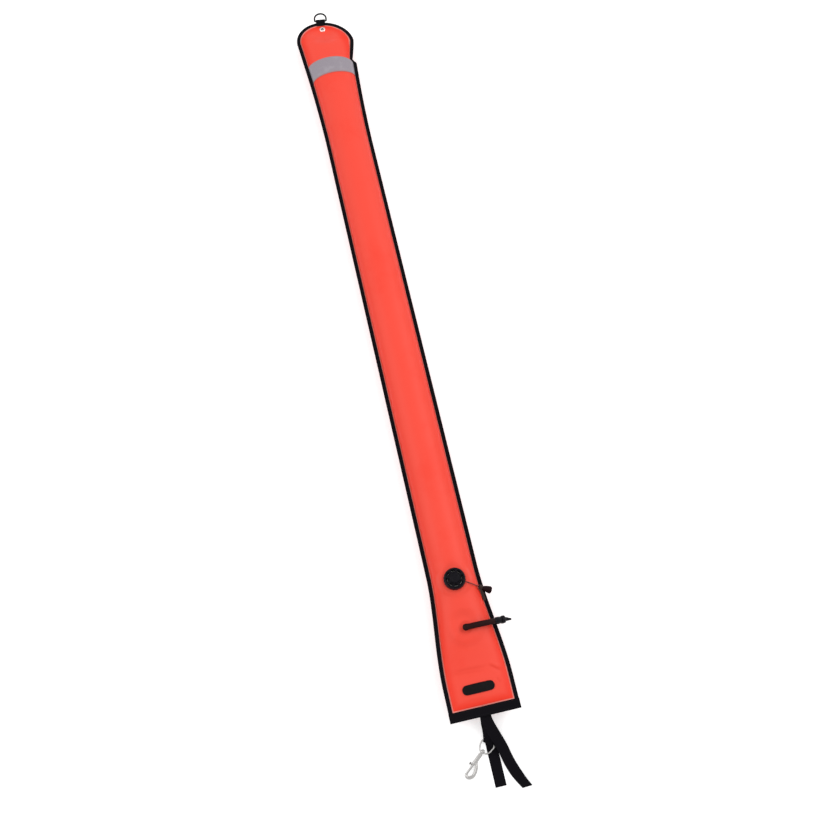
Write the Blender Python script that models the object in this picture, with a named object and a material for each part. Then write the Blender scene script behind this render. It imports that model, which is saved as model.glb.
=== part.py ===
"""Surface marker buoy: a closed, orally inflated fabric tube, lying on its back.

Frame: metres, +Z up, +Y towards the head (the end with the D-ring), +X to the right.
The origin is the middle of the flat patch that the tube rests on.
"""
import math

import bmesh
import bpy
import numpy as np
from mathutils import Matrix, Vector

# Bladder: plan and section
LENGTH = 1.800                # foot edge to head tip
CHAMBER_FABRIC = 0.134        # width of one panel between the side welds
FOOT_HALF = 0.0653            # chamber half width at the flat foot
MIDDLE_HALF = 0.0473          # chamber half width along the inflated middle
HEAD_HALF = 0.0633            # chamber half width at the flat head
FOOT_TAPER = (0.070, 0.310)   # the foot narrows between these distances from the foot edge
HEAD_TAPER = (0.065, 0.400)   # the head widens between these distances from the head tip
HEAD_TAPER_POWER = 1.9
HEAD_ROUND = 0.065            # depth of the rounded head
HEAD_WELD = 0.014             # weld margin at the head tip
HEAD_LEAN = 0.14              # the head end is skewed: its left shoulder lies further out
HEAD_LEAN_SPAN = (0.140, 0.050)
FOOT_WELD = 0.0215            # foot edge to the chamber's end weld
FOOT_RISE = 0.045             # length over which the foot fills out
PANEL_THICKNESS = 0.0008
WELD_GAP = 0.0003             # between the two panels at the weld
REST_FLAT = 0.0028            # how far the underside is pressed flat
CLEARANCE = 0.0003            # between touching pieces
PANEL_COLUMNS = 16
BACK_COLUMNS = 12

# Edge binding and foot band
BINDING_WIDTH = 0.0090
BINDING_THICKNESS = 0.0009
BINDING_OFFSET = 0.0012       # weld line to the inner edge of the binding
EDGE_INSET = 0.0014           # binding's outer face to the fabric edge
FOOT_BAND_WIDTH = 0.0205
FOOT_BAND_THICKNESS = 0.0012
FOOT_BAND_OVERHANG = 0.0004

# Reflective band and badge
REFLECTIVE_FROM_HEAD = 0.134  # head tip to the band's upper edge
REFLECTIVE_WIDTH = 0.050
REFLECTIVE_THICKNESS = 0.0004
BADGE_FROM_FOOT = 0.058
BADGE_LENGTH = 0.069
BADGE_WIDTH = 0.0205
BADGE_THICKNESS = 0.0014
BADGE_X = -0.0022

# Head fittings
RING_WIRE = 0.00225           # radius
RING_HALF_WIDTH = 0.01525     # to the wire's centre line
RING_HEIGHT = 0.0235          # bar to crown, centre lines
RING_BAR_FROM_TIP = 0.006     # bar beyond the head tip
TAB_WIDTH = 0.0240
TAB_THICKNESS = 0.0013
TAB_LAP = 0.0175              # bar to the sewn end of the tab
EYELET_FROM_TIP = 0.0226
EYELET_BORE = 0.0030
EYELET_FLANGE = 0.0074
EYELET_WALL = 0.0007
EYELET_PAD = (0.018, 0.040)   # the panels are welded flat round the eyelet

# Dump valve
VALVE_FROM_FOOT = 0.2852
VALVE_PAD = (0.0265, 0.040)   # the stiff flange holds the fabric flat inside the first radius
VALVE_SINK = 0.0012
VALVE_RIM = 0.0238
VALVE_RIM_HEIGHT = 0.0072
VALVE_SCALLOPS = 20
VALVE_SCALLOP_DEPTH = 0.0006
VALVE_FLANGE = 0.0215
VALVE_FLANGE_THICKNESS = 0.0015
COLLAR_OUTER = 0.0170
COLLAR_INNER = 0.0140
COLLAR_HEIGHT = 0.0060
CAP_RADIUS = 0.0228
CAP_WALL = 0.0026
CAP_HEIGHT = 0.0046
CAP_PLATE = 0.0016
HUB_RADIUS = 0.0105
HUB_HEIGHT = 0.0053
VENT_COUNT = 8
VENT_INNER = 0.0125
VENT_OUTER = 0.0192
VENT_SHARE = 0.62             # part of the ring that is open
DISC_RADIUS = 0.0155
DISC_THICKNESS = 0.0012
SEAL_INNER = 0.0128
SEAL_OUTER = 0.0160
SEAL_THICKNESS = 0.0010
STEM_RADIUS = 0.0018
STEM_BORE = 0.0022
POPPET_TRAVEL = 0.0025
SPRING_POCKET = 0.0062
SPRING_POCKET_DEPTH = 0.0028
SPRING_RADIUS = 0.0048
SPRING_WIRE = 0.00030
SPRING_TURNS = 3

# Pull cord, knob and keeper. OUT is measured from the valve's axis and UP from the seam plane
CORD_HEADING = -26.0          # degrees from +X
CORD_RADIUS = 0.0010
CORD_PORT_WIDTH = 0.0032      # a slot, because the cord dips as it is pulled
CORD_PORT_SPAN = (0.0010, 0.0060)
CORD_PORT_HEIGHT = 0.0045
CORD_START = 0.0178           # inside the port
CORD_MOUTH = 0.0245
CORD_BOW = 0.0026             # the cord runs nearly straight, clear of the fabric
KNOB_OUT = 0.054
KNOB_UP = 0.0162
KNOB_DIP = 24.8               # degrees below level
KNOB_LENGTH = 0.0286
KNOB_NECK = 0.0030
KNOB_END = 0.0078
KNOB_BORE = 0.0014
CORD_IN_KNOB = 0.009
KEEPER_WIDTH = 0.0080
KEEPER_PATH = ((0.0546, 0.2310, 0.0064), (0.0542, 0.2380, 0.0072), (0.0535, 0.2450, 0.0092),
               (0.0525, 0.2515, 0.0126))   # x, distance from the foot edge, height over the seam
KEEPER_TILT = 40.0            # degrees: at its sewn end it leans on the chamber's flank
KEEPER_ON_NECK = 0.0030
KEEPER_THICKNESS = 0.0010

# Oral inflator
INFLATOR_FROM_FOOT = 0.1825
INFLATOR_PAD = (0.0265, 0.039)
INFLATOR_SINK = 0.0005
ELBOW_FLANGE = 0.0170
ELBOW_FLANGE_THICKNESS = 0.0014
ELBOW_BALL = 0.0066
ELBOW_POST = 0.0046
ELBOW_HEIGHT = 0.0078         # panel to the ball's centre
HOSE_RADIUS = 0.0061
HOSE_BORE = 0.0045
HOSE_START = 0.0055           # from the ball's centre
HOSE_REACH = 0.062            # level distance to the hose's end
HOSE_LEVEL = 0.0140           # the hose leaves the elbow level as far as this, then droops
HOSE_DROOP = 4.5              # drop in metres for each square metre of reach beyond that
BARREL_LENGTH = 0.0165
BARREL_RADIUS = 0.0079
BARREL_WALL = 0.0019
BARREL_CHAMBER = BARREL_RADIUS - BARREL_WALL
BARREL_FLOOR = 0.0025
BARB_LENGTH = 0.012
BARB_RADIUS = 0.0039
AIR_BORE = 0.0026
RING_GAP = 0.0005
LOCK_RING_LENGTH = 0.0090
LOCK_RING_RADIUS = 0.0078
LOCK_RING_LOBES = 6
LOCK_RING_LOBE = 0.0012
NOZZLE_STEM = 0.0047
NOZZLE_CLEAR = 0.0004
NOZZLE_MOUTH = 0.0150
NOZZLE_TIP = 0.0022
NOZZLE_BORE = 0.0014
NOZZLE_TRAVEL = 0.0035
CHECK_SEAL_THICKNESS = 0.0013
CHECK_SPRING_LENGTH = 0.0064
CHECK_SPRING_TURNS = 4

# Foot straps
STRAP_WIDTH = 0.0235
STRAP_THICKNESS = 0.0014
STRAP_PITCH = 0.0017          # between the layers of the sewn stack
STRAP_TAIL = 0.0175           # length sewn under the foot band
STRAP_COVERED = 0.0015        # the free straps start this far under the band
STRAP_X = -0.0010
FLOOR_LIFT = 0.00075          # centre height of webbing that lies on the floor
# Routes of the free straps after the foot edge: x, y from the foot edge, height
LEFT_ROUTE = ((-0.0010, -0.008, 0.0250), (-0.0012, -0.019, 0.0166), (-0.0013, -0.029, 0.0078),
              (-0.0014, -0.0365, 0.0025), (-0.0014, -0.0435, 0.0009))
LEFT_LIES_AT = (-0.052, -0.082, -0.112, -0.142)   # y from the foot edge, down on the floor
RIGHT_ROUTE = ((0.0002, -0.008, 0.0322), (0.0036, -0.022, 0.0288), (0.0092, -0.038, 0.0222),
               (0.0154, -0.055, 0.0154), (0.0207, -0.072, 0.0094), (0.0248, -0.090, 0.0044),
               (0.0296, -0.106, 0.0026), (0.0352, -0.1215, 0.0036), (0.0426, -0.138, 0.0068),
               (0.0510, -0.1535, 0.0084))
RIGHT_ROLL = 38.0             # degrees that its end is rolled by
LOOP_UPPER = ((-0.0015, -0.008, 0.0296), (-0.0030, -0.021, 0.0241), (-0.0044, -0.033, 0.0165),
              (-0.0056, -0.0440, 0.0103))
LOOP_LOWER = ((-0.0056, -0.0450, 0.0057), (-0.0044, -0.034, 0.0122), (-0.0030, -0.021, 0.0213),
              (-0.0015, -0.008, 0.0276))
LOOP_TURN = 0.040             # length over which the loop turns to the snap's bar

# Bolt snap
BAR_CENTRE = (-0.0065, -0.0532)   # from the middle of the foot edge
BAIL_HEADING = 228.0          # degrees from +X
HOOK_HEADING = 219.0
SNAP_HEIGHT = 0.0053
BAIL_WIRE = 0.0016
BAIL_CORNER = 0.0025
BAIL_HALF = 0.0117            # straight half length of the bar
BAIL_ARMS = (((0.0217, 0.0007), (0.0226, 0.0040), (0.0208, 0.0072), (0.0166, 0.0104), (0.0122, 0.0123),
              (0.0080, 0.0127)),
             ((0.0080, -0.0143), (0.0140, -0.0132), (0.0186, -0.0110), (0.0216, -0.0086), (0.0217, -0.0063)))
BOSS_OFFSET = (0.0216, -0.0028)   # along and across the bail from the bar's centre
BOSS_RADIUS = 0.0044
BOSS_BORE = 0.0022
BOSS_LENGTH = 0.0050
POST_RADIUS = 0.0019
POST_HEAD = 0.0029
POST_HEAD_LENGTH = 0.0022
BARREL_START = 0.0060         # from the boss
BARREL_END = 0.0310
SNAP_BARREL = 0.0042
SNAP_BORE = 0.0026
SNAP_BORE_START = 0.0072
GATE_RADIUS = 0.0023
GATE_TAIL = 0.0200
HOOK_WIRE = 0.0027
HOOK_TIP = 0.0530
GATE_TRAVEL = 0.0085
THUMB_AT = 0.0334
THUMB_STEM = 0.0012
THUMB_RADIUS = 0.0027
THUMB_REACH = 0.0082
GATE_SPRING_TURNS = 6
GATE_SPRING_WIRE = 0.00025

# Worked-out places
FOOT_Y = -LENGTH / 2
HEAD_Y = LENGTH / 2
HEAD_CENTRE_Y = HEAD_Y - HEAD_ROUND
MARGIN = BINDING_OFFSET + BINDING_WIDTH
SLOT_HALF = WELD_GAP / 2 + PANEL_THICKNESS + CLEARANCE
WELD_TOP = WELD_GAP / 2 + PANEL_THICKNESS


def smooth(t):
    """Eases from 0 to 1 with level ends."""
    t = np.clip(t, 0.0, 1.0)
    return t * t * (3.0 - 2.0 * t)


def chamber_half(y):
    """Half width of the inflated chamber at y, along the straight part of the bladder."""
    foot = smooth((y - FOOT_Y - FOOT_TAPER[0]) / (FOOT_TAPER[1] - FOOT_TAPER[0]))
    head = np.clip((HEAD_TAPER[1] - (HEAD_Y - y)) / (HEAD_TAPER[1] - HEAD_TAPER[0]), 0.0, 1.0)
    return (MIDDLE_HALF + (FOOT_HALF - MIDDLE_HALF) * (1.0 - foot)
            + (HEAD_HALF - MIDDLE_HALF) * head ** HEAD_TAPER_POWER)


def ellipse_half_perimeter(a, b):
    """Half the perimeter of an ellipse with half axes a and b, by Ramanujan's formula."""
    h = ((a - b) / (a + b)) ** 2
    return 0.5 * math.pi * (a + b) * (1.0 + 3.0 * h / (10.0 + math.sqrt(4.0 - 3.0 * h)))


def bulge(a):
    """Height of the section whose half perimeter is the panel's width: the fabric doesn't stretch."""
    low, high = 0.0, CHAMBER_FABRIC
    for _ in range(40):
        middle = 0.5 * (low + high)
        if ellipse_half_perimeter(a, middle) < CHAMBER_FABRIC:
            low = middle
        else:
            high = middle
    return low


SEAM_Z = WELD_TOP + bulge(MIDDLE_HALF) - REST_FLAT


def lean(x, y):
    """Skews the head end: y moves with x, from nothing at the span's start to HEAD_LEAN at its end."""
    start, end = HEAD_LEAN_SPAN
    return y - HEAD_LEAN * x * smooth((y - (HEAD_Y - start)) / (start - end))


def station_rows(ys, turns):
    """Rows of the chamber: (chamber half width, its y, fabric half width, its y, height)."""
    rows = []
    for y in ys:
        a = float(chamber_half(y))
        rise = np.clip((y - FOOT_Y - FOOT_WELD) / FOOT_RISE, 0.0, 1.0)
        rows.append((a, y, a + MARGIN - EDGE_INSET, y, bulge(a) * math.sqrt(1.0 - (1.0 - rise) ** 2)))
    for turn in turns:
        c, s = math.cos(turn), math.sin(turn)
        rows.append((HEAD_HALF * c, HEAD_CENTRE_Y + (HEAD_ROUND - HEAD_WELD) * s,
                     (HEAD_HALF + MARGIN - EDGE_INSET) * c, HEAD_CENTRE_Y + (HEAD_ROUND - EDGE_INSET) * s,
                     bulge(HEAD_HALF) * c))
    return rows


def pads(x, y, z, level, thickness, wanted):
    """Presses the surface flat round each welded fitting, blending out to the free fabric."""
    for cx, cy, (flat, free), height in wanted:
        weight = 1.0 - smooth((np.hypot(x - cx, y - cy) - flat) / (free - flat))
        z = z * (1.0 - weight) + (height - thickness) * weight
    return z


def fit_pads():
    """The three fittings' pads: centre, radii and height of the panel's outer side over the seam."""
    valve = WELD_TOP + bulge(float(chamber_half(VALVE_Y))) - VALVE_SINK
    inflator = WELD_TOP + bulge(float(chamber_half(INFLATOR_Y))) - INFLATOR_SINK
    return [(0.0, VALVE_Y, VALVE_PAD, valve), (0.0, INFLATOR_Y, INFLATOR_PAD, inflator),
            (0.0, EYELET_Y, EYELET_PAD, WELD_TOP)]


VALVE_Y = FOOT_Y + VALVE_FROM_FOOT
INFLATOR_Y = FOOT_Y + INFLATOR_FROM_FOOT
EYELET_Y = HEAD_Y - EYELET_FROM_TIP
FITTING_PADS = fit_pads()
VALVE_Z = SEAM_Z + FITTING_PADS[0][3]
INFLATOR_Z = SEAM_Z + FITTING_PADS[1][3]


def panel_sheet(rows, columns, offset, side, fittings):
    """Grid of one side of a panel. offset 0 is its inner side and PANEL_THICKNESS its outer one.

    Each row runs from the left fabric edge over a half ellipse to the right fabric edge.
    """
    angles = np.linspace(math.pi, 0.0, columns + 1)
    xs, ys, zs = [], [], []
    for a, y, edge, outer_y, height in rows:
        inset = PANEL_THICKNESS - offset
        x = np.concatenate([[-edge], (max(a - inset, 0.3 * a)) * np.cos(angles), [edge]])
        z = np.concatenate([[0.0], height * np.sin(angles), [0.0]]) + WELD_GAP / 2 + offset
        row_y = np.concatenate([[outer_y], np.full(columns + 1, y), [outer_y]])
        xs.append(x)
        ys.append(row_y)
        zs.append(z)
    first, last = rows[0], rows[-1]
    foot_edge = FOOT_Y + FOOT_BAND_THICKNESS + CLEARANCE
    for at_start, (edge, y) in ((True, (first[2], foot_edge)), (False, (last[2], HEAD_Y - EDGE_INSET))):
        x = np.concatenate([[-edge], edge * np.cos(angles), [edge]])
        x[1], x[-2] = 0.5 * (x[0] + x[2]), 0.5 * (x[-1] + x[-3])
        z = np.full(columns + 3, WELD_GAP / 2 + offset)
        where = 0 if at_start else len(xs)
        xs.insert(where, x)
        ys.insert(where, np.full(columns + 3, y))
        zs.insert(where, z)
    x, y, z = np.array(xs), np.array(ys), np.array(zs)
    z = pads(x, y, z, SEAM_Z, PANEL_THICKNESS - offset, fittings)
    y = lean(x, y)
    z = SEAM_Z + side * z
    if side < 0:
        z = np.maximum(z, PANEL_THICKNESS - offset)
    return np.stack([x, y, z], axis=-1)


def add_object(name, mesh, material, parent=None, local=False):
    """Links a mesh as a named object. local means that its points are in the parent's frame."""
    obj = bpy.data.objects.new(name, mesh)
    bpy.context.scene.collection.objects.link(obj)
    if material is not None:
        mesh.materials.append(material)
    if parent is not None:
        obj.parent = parent
        if not local:
            obj.matrix_parent_inverse = parent.matrix_world.inverted()
    return obj


def closed_mesh(name, points, faces, smooth_angle=40.0):
    """A closed mesh with its faces pointing out."""
    mesh = bpy.data.meshes.new(name)
    mesh.from_pydata([tuple(float(c) for c in p) for p in points], [], faces)
    shell = bmesh.new()
    shell.from_mesh(mesh)
    bmesh.ops.recalc_face_normals(shell, faces=shell.faces)
    shell.to_mesh(mesh)
    shell.free()
    mesh.shade_smooth()
    mesh.set_sharp_from_angle(angle=math.radians(smooth_angle))
    return mesh


def join_meshes(name, parts):
    """Several closed meshes as one, each still a body of its own."""
    points, faces = [], []
    for part in parts:
        start = len(points)
        points.extend(tuple(v.co) for v in part.vertices)
        faces.extend(tuple(start + i for i in p.vertices) for p in part.polygons)
        bpy.data.meshes.remove(part)
    return closed_mesh(name, points, faces)


def two_sided(name, outer, inner):
    """Closes two grids of the same size into a sheet with a rim."""
    rows, columns = outer.shape[:2]
    count = rows * columns
    points = np.concatenate([outer.reshape(-1, 3), inner.reshape(-1, 3)])
    at = np.arange(count).reshape(rows, columns)
    faces = []
    for i in range(rows - 1):
        for j in range(columns - 1):
            quad = (at[i, j], at[i, j + 1], at[i + 1, j + 1], at[i + 1, j])
            faces.append(tuple(int(k) for k in quad))
            faces.append(tuple(int(k) + count for k in reversed(quad)))
    rim = np.concatenate([at[0, :-1], at[:-1, -1], at[-1, :0:-1], at[:0:-1, 0]])
    for k in range(len(rim)):
        a, b = int(rim[k]), int(rim[(k + 1) % len(rim)])
        faces.append((b, a, a + count, b + count))
    return closed_mesh(name, points, faces)


def lathe(name, profile, segments=32, radius_at=None):
    """Turns a closed outline of (radius, height) about Z. Points at radius 0 become poles.

    radius_at, if given, changes a point's radius by its angle, for knurls and lobes.
    """
    turn = (np.arange(segments) + 0.5) * 2.0 * math.pi / segments
    points, rings = [], []
    for r, z in profile:
        if r == 0.0:
            rings.append([len(points)])
            points.append((0.0, 0.0, z))
            continue
        rings.append(list(range(len(points), len(points) + segments)))
        for angle in turn:
            radius = r if radius_at is None else radius_at(r, angle)
            points.append((radius * math.cos(angle), radius * math.sin(angle), z))
    faces = []
    count = len(rings)
    for k in range(count):
        a, b = rings[k], rings[(k + 1) % count]
        if len(a) == 1 and len(b) == 1:
            continue
        for j in range(segments):
            n = (j + 1) % segments
            if len(a) == 1:
                faces.append((a[0], b[n], b[j]))
            elif len(b) == 1:
                faces.append((a[j], a[n], b[0]))
            else:
                faces.append((a[j], a[n], b[n], b[j]))
    return closed_mesh(name, points, faces)


def sweep(name, path, sections, closed=False):
    """Carries a section along a path: sections[i] holds the outline's points at path[i]."""
    points = [tuple(p) for ring in sections for p in ring]
    sides = len(sections[0])
    steps = len(path)
    faces = []
    for i in range(steps if closed else steps - 1):
        a, b = i * sides, ((i + 1) % steps) * sides
        for j in range(sides):
            n = (j + 1) % sides
            faces.append((a + j, a + n, b + n, b + j))
    if not closed:
        faces.append(tuple(range(sides)))
        faces.append(tuple((steps - 1) * sides + j for j in reversed(range(sides))))
    return closed_mesh(name, points, faces)


def tangents(path, closed=False):
    path = np.asarray(path, float)
    if closed:
        step = np.roll(path, -1, axis=0) - np.roll(path, 1, axis=0)
    else:
        step = np.gradient(path, axis=0)
    return step / np.linalg.norm(step, axis=1)[:, None]


def tube(name, path, radius, sides=8, closed=False, up=(0.0, 0.0, 1.0)):
    """A round bar along a path that keeps clear of the up direction."""
    path = np.asarray(path, float)
    forward = tangents(path, closed)
    across = np.cross(forward, up)
    across /= np.linalg.norm(across, axis=1)[:, None]
    normal = np.cross(across, forward)
    angles = (np.arange(sides) + 0.5) * 2.0 * math.pi / sides
    rings = [[p + radius * (math.cos(a) * u + math.sin(a) * n) for a in angles]
             for p, u, n in zip(path, across, normal)]
    return sweep(name, path, rings, closed)


def ribbon(name, path, widths, width, thickness):
    """A flat strap along a path. widths holds the direction across the strap at each point."""
    path = np.asarray(path, float)
    widths = np.asarray(widths, float)
    normal = np.cross(widths, tangents(path))
    normal /= np.linalg.norm(normal, axis=1)[:, None]
    rings = []
    for p, w, n in zip(path, widths, normal):
        rings.append([p + w * width * 0.5 * sx + n * thickness * 0.5 * sn
                      for sx, sn in ((-1, -1), (1, -1), (1, 1), (-1, 1))])
    return sweep(name, path, rings)


def spline(points, per_span):
    """A smooth curve through the given points (Catmull-Rom), with per_span steps in each span."""
    points = np.asarray(points, float)
    ends = np.concatenate([[2 * points[0] - points[1]], points, [2 * points[-1] - points[-2]]])
    t = np.linspace(0.0, 1.0, per_span, endpoint=False)[:, None]
    curve = []
    for a, b, c, d in zip(ends[:-3], ends[1:-2], ends[2:-1], ends[3:]):
        curve.append(0.5 * (2 * b + (c - a) * t + (2 * a - 5 * b + 4 * c - d) * t ** 2
                            + (3 * b - a - 3 * c + d) * t ** 3))
    return np.concatenate(curve + [points[-1:]])


def coil(name, radius, wire, turns, bottom, top, steps=12):
    """A helical spring about Z whose wire lies between bottom and top."""
    count = turns * steps + 1
    turn = np.linspace(0.0, turns * 2.0 * math.pi, count)
    height = np.linspace(bottom + wire, top - wire, count)
    path = np.stack([radius * np.cos(turn), radius * np.sin(turn), height], axis=-1)
    print(name, "least gap between turns", (top - bottom - 2 * wire) / turns - 2 * wire)
    return tube(name, path, wire, sides=6)


def empty(name, location, rotation=None, parent=None):
    """An empty on a joint's axis, or at a group's own frame."""
    holder = bpy.data.objects.new(name, None)
    holder.empty_display_size = 0.01
    bpy.context.scene.collection.objects.link(holder)
    matrix = Matrix.Translation(location)
    if rotation is not None:
        matrix = matrix @ rotation.to_4x4()
    holder.matrix_world = matrix
    if parent is not None:
        holder.parent = parent
        holder.matrix_parent_inverse = parent.matrix_world.inverted()
        holder.matrix_world = matrix
    bpy.context.view_layer.update()
    return holder


def cut(target, mesh, name, parent=None, operation="DIFFERENCE"):
    """Cuts target with a hidden guide, or joins the guide to it."""
    guide = add_object(name, mesh, None, parent, local=parent is not None)
    guide.hide_render = True
    guide.display_type = "WIRE"
    modifier = target.modifiers.new(name, "BOOLEAN")
    modifier.operation = operation
    modifier.solver = "EXACT"
    modifier.object = guide
    return guide


def rod(name, radius, start, end, segments=24):
    return lathe(name, [(0.0, start), (radius, start), (radius, end), (0.0, end)], segments)


def turned(mesh, rotation):
    """Turns a mesh's own points."""
    mesh.transform(rotation.to_4x4())
    return mesh


def moved(mesh, offset):
    mesh.transform(Matrix.Translation(offset))
    return mesh


def material(name, colour, roughness, metallic=0.0):
    shade = bpy.data.materials.new(name)
    shade.use_nodes = True
    surface = shade.node_tree.nodes["Principled BSDF"]
    surface.inputs["Base Color"].default_value = (*colour, 1.0)
    surface.inputs["Roughness"].default_value = roughness
    surface.inputs["Metallic"].default_value = metallic
    return shade


def build_panels(shades):
    """Front and back panels, welded together round their edges, with the holes for the fittings."""
    mm = 0.001
    front_y = [FOOT_WELD / mm + k for k in (0, 4.5, 12.5, 22.5)] + [68, 92, 116, 138]
    front_y += [INFLATOR_FROM_FOOT / mm + k for k in (-30, -18, -9, 0, 9, 18, 30)]
    front_y += [VALVE_FROM_FOOT / mm + k for k in (-44, -32, -24, -12, 0, 12, 24, 32, 44)]
    front_y += [370, 440, 560, 750, 1000]
    front_y += [LENGTH / mm - k for k in (550, 420, 350, 290, 240)]
    front_y += [(LENGTH - REFLECTIVE_FROM_HEAD) / mm + k for k in (-50, -25, 0)]
    front_y += [LENGTH / mm - 110, LENGTH / mm - 87, (LENGTH - HEAD_ROUND) / mm]
    back_y = [FOOT_WELD / mm + k for k in (0, 6.5, 19.5)] + [70, 100, 130, 160, 190, 220, 250, 285, 330, 400, 500, 700, 1000]
    back_y += [LENGTH / mm - k for k in (500, 380, 310, 250, 200, 155, 110, 85)] + [(LENGTH - HEAD_ROUND) / mm]
    turns = [math.radians(k) for k in (15, 29, 42, 54, 66, 77, 85)]
    front_rows = station_rows([FOOT_Y + k * mm for k in front_y], turns)
    back_rows = station_rows([FOOT_Y + k * mm for k in back_y], turns)
    front = add_object("front_panel", two_sided(
        "front_panel", panel_sheet(front_rows, PANEL_COLUMNS, PANEL_THICKNESS, 1, FITTING_PADS),
        panel_sheet(front_rows, PANEL_COLUMNS, 0.0, 1, FITTING_PADS)), shades["fabric"])
    back = add_object("back_panel", two_sided(
        "back_panel", panel_sheet(back_rows, BACK_COLUMNS, PANEL_THICKNESS, -1, FITTING_PADS[2:]),
        panel_sheet(back_rows, BACK_COLUMNS, 0.0, -1, FITTING_PADS[2:])), shades["fabric"])
    hole = EYELET_BORE + EYELET_WALL + CLEARANCE
    for panel in (front, back):
        cut(panel, moved(rod("eyelet_hole", hole, -0.01, 0.01, 20), (0, EYELET_Y, SEAM_Z)),
            "eyelet_hole_" + panel.name)
    cut(front, moved(rod("valve_hole", COLLAR_OUTER + CLEARANCE, -0.01, 0.01, 40), (0, VALVE_Y, VALVE_Z)),
        "valve_hole")
    cut(front, moved(rod("inflator_hole", ELBOW_POST + CLEARANCE, -0.01, 0.01, 20),
                     (0, INFLATOR_Y, INFLATOR_Z)), "inflator_hole")


def outline():
    """The bladder's outer edge in plan, from the foot's left corner round the head to its right."""
    start = FOOT_Y + FOOT_BAND_WIDTH + CLEARANCE
    foot_half = float(chamber_half(start)) + MARGIN
    rises = [0.068, 0.092, 0.116, 0.138, 0.165, 0.19, 0.215, 0.241, 0.27, 0.30, 0.33, 0.37, 0.56, 0.85]
    rises += [LENGTH - k for k in (0.65, 0.40, 0.35, 0.30, 0.26, 0.22, 0.18, 0.15, 0.125, 0.10, 0.08)]
    side = [(foot_half, start)]
    side += [(float(chamber_half(FOOT_Y + k)) + MARGIN, FOOT_Y + k) for k in rises]
    arc = [((HEAD_HALF + MARGIN) * math.cos(t), HEAD_CENTRE_Y + HEAD_ROUND * math.sin(t))
           for t in np.linspace(0.0, math.pi, 25)]
    points = [(-x, y) for x, y in side] + [(x, y) for x, y in reversed(arc)] + list(reversed(side))
    return np.array([(x, lean(x, y)) for x, y in points])


def build_binding(shades):
    """Webbing folded over the fabric's edge, and the wider band across the foot."""
    edge = outline()
    path = np.column_stack([edge, np.full(len(edge), SEAM_Z)])
    forward = tangents(path)
    inward = np.stack([forward[:, 1], -forward[:, 0], np.zeros(len(path))], axis=-1)
    outside = SLOT_HALF + BINDING_THICKNESS
    fold = [(0.0, outside), (BINDING_WIDTH, outside), (BINDING_WIDTH, SLOT_HALF), (BINDING_THICKNESS, SLOT_HALF),
            (BINDING_THICKNESS, -SLOT_HALF), (BINDING_WIDTH, -SLOT_HALF), (BINDING_WIDTH, -outside), (0.0, -outside)]
    rings = [[p + n * d + Vector((0, 0, z)) for d, z in fold] for p, n in zip(path, inward)]
    add_object("edge_binding", sweep("edge_binding", path, rings), shades["webbing"])

    half = FOOT_HALF + MARGIN + FOOT_BAND_OVERHANG
    outside = SLOT_HALF + FOOT_BAND_THICKNESS
    wide, thick = FOOT_BAND_WIDTH, FOOT_BAND_THICKNESS
    fold = [(0.0, outside), (wide, outside), (wide, SLOT_HALF), (thick, SLOT_HALF),
            (thick, -SLOT_HALF), (wide, -SLOT_HALF), (wide, -outside), (0.0, -outside)]
    path = [(-half, 0, 0), (half, 0, 0)]
    rings = [[(x, FOOT_Y + d, SEAM_Z + z) for d, z in fold] for x, _, _ in path]
    add_object("foot_band", sweep("foot_band", path, rings), shades["webbing"])


def build_reflective_band(shades):
    """Silver tape over the front panel, clear of it by the same gap everywhere."""
    top = HEAD_Y - REFLECTIVE_FROM_HEAD
    rows = station_rows([top - REFLECTIVE_WIDTH, top - REFLECTIVE_WIDTH / 2, top], [])
    angles = np.linspace(math.pi, 0.0, PANEL_COLUMNS + 1)
    sheets = []
    for lift in (CLEARANCE + REFLECTIVE_THICKNESS, CLEARANCE):
        grid = []
        for a, y, _, _, height in rows:
            x = (a + lift) * np.cos(angles)
            z = SEAM_Z + WELD_TOP + lift + height * np.sin(angles)
            grid.append(np.stack([x, lean(x, np.full(len(x), y)), z], axis=-1))
        sheets.append(np.array(grid))
    add_object("reflective_band", two_sided("reflective_band", *sheets), shades["reflective"])


def front_height(x, y):
    """Height of the front panel's outer side at a point of its straight part."""
    a = float(chamber_half(y))
    rise = float(np.clip((y - FOOT_Y - FOOT_WELD) / FOOT_RISE, 0.0, 1.0))
    height = bulge(a) * math.sqrt(1.0 - (1.0 - rise) ** 2)
    return SEAM_Z + WELD_TOP + height * math.sqrt(max(0.0, 1.0 - (x / a) ** 2))


def build_badge(shades):
    """A plain capsule patch that follows the fabric near the foot."""
    end = BADGE_WIDTH / 2
    straight = BADGE_LENGTH / 2 - end
    y = FOOT_Y + BADGE_FROM_FOOT
    rim = [(straight + end * math.cos(t), end * math.sin(t)) for t in np.linspace(-math.pi / 2, math.pi / 2, 13)]
    columns = sorted({round(x, 6) for x, _ in rim} | {round(k * straight / 3, 6) for k in range(4)})
    xs = np.array([-x for x in reversed(columns) if x > 0] + columns)
    reach = np.sqrt(np.maximum(end ** 2 - np.maximum(np.abs(xs) - straight, 0.0) ** 2, 1e-8))
    reach = np.maximum(reach, end * 0.12)
    sheets = []
    for lift in (2 * CLEARANCE + BADGE_THICKNESS, 2 * CLEARANCE):
        grid = [[(x + BADGE_X, y + r * k, front_height(x + BADGE_X, y) + lift) for x, r in zip(xs, reach)]
                for k in (-1.0, 0.0, 1.0)]
        sheets.append(np.array(grid))
    add_object("badge", two_sided("badge", *sheets), shades["rubber"])


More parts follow.
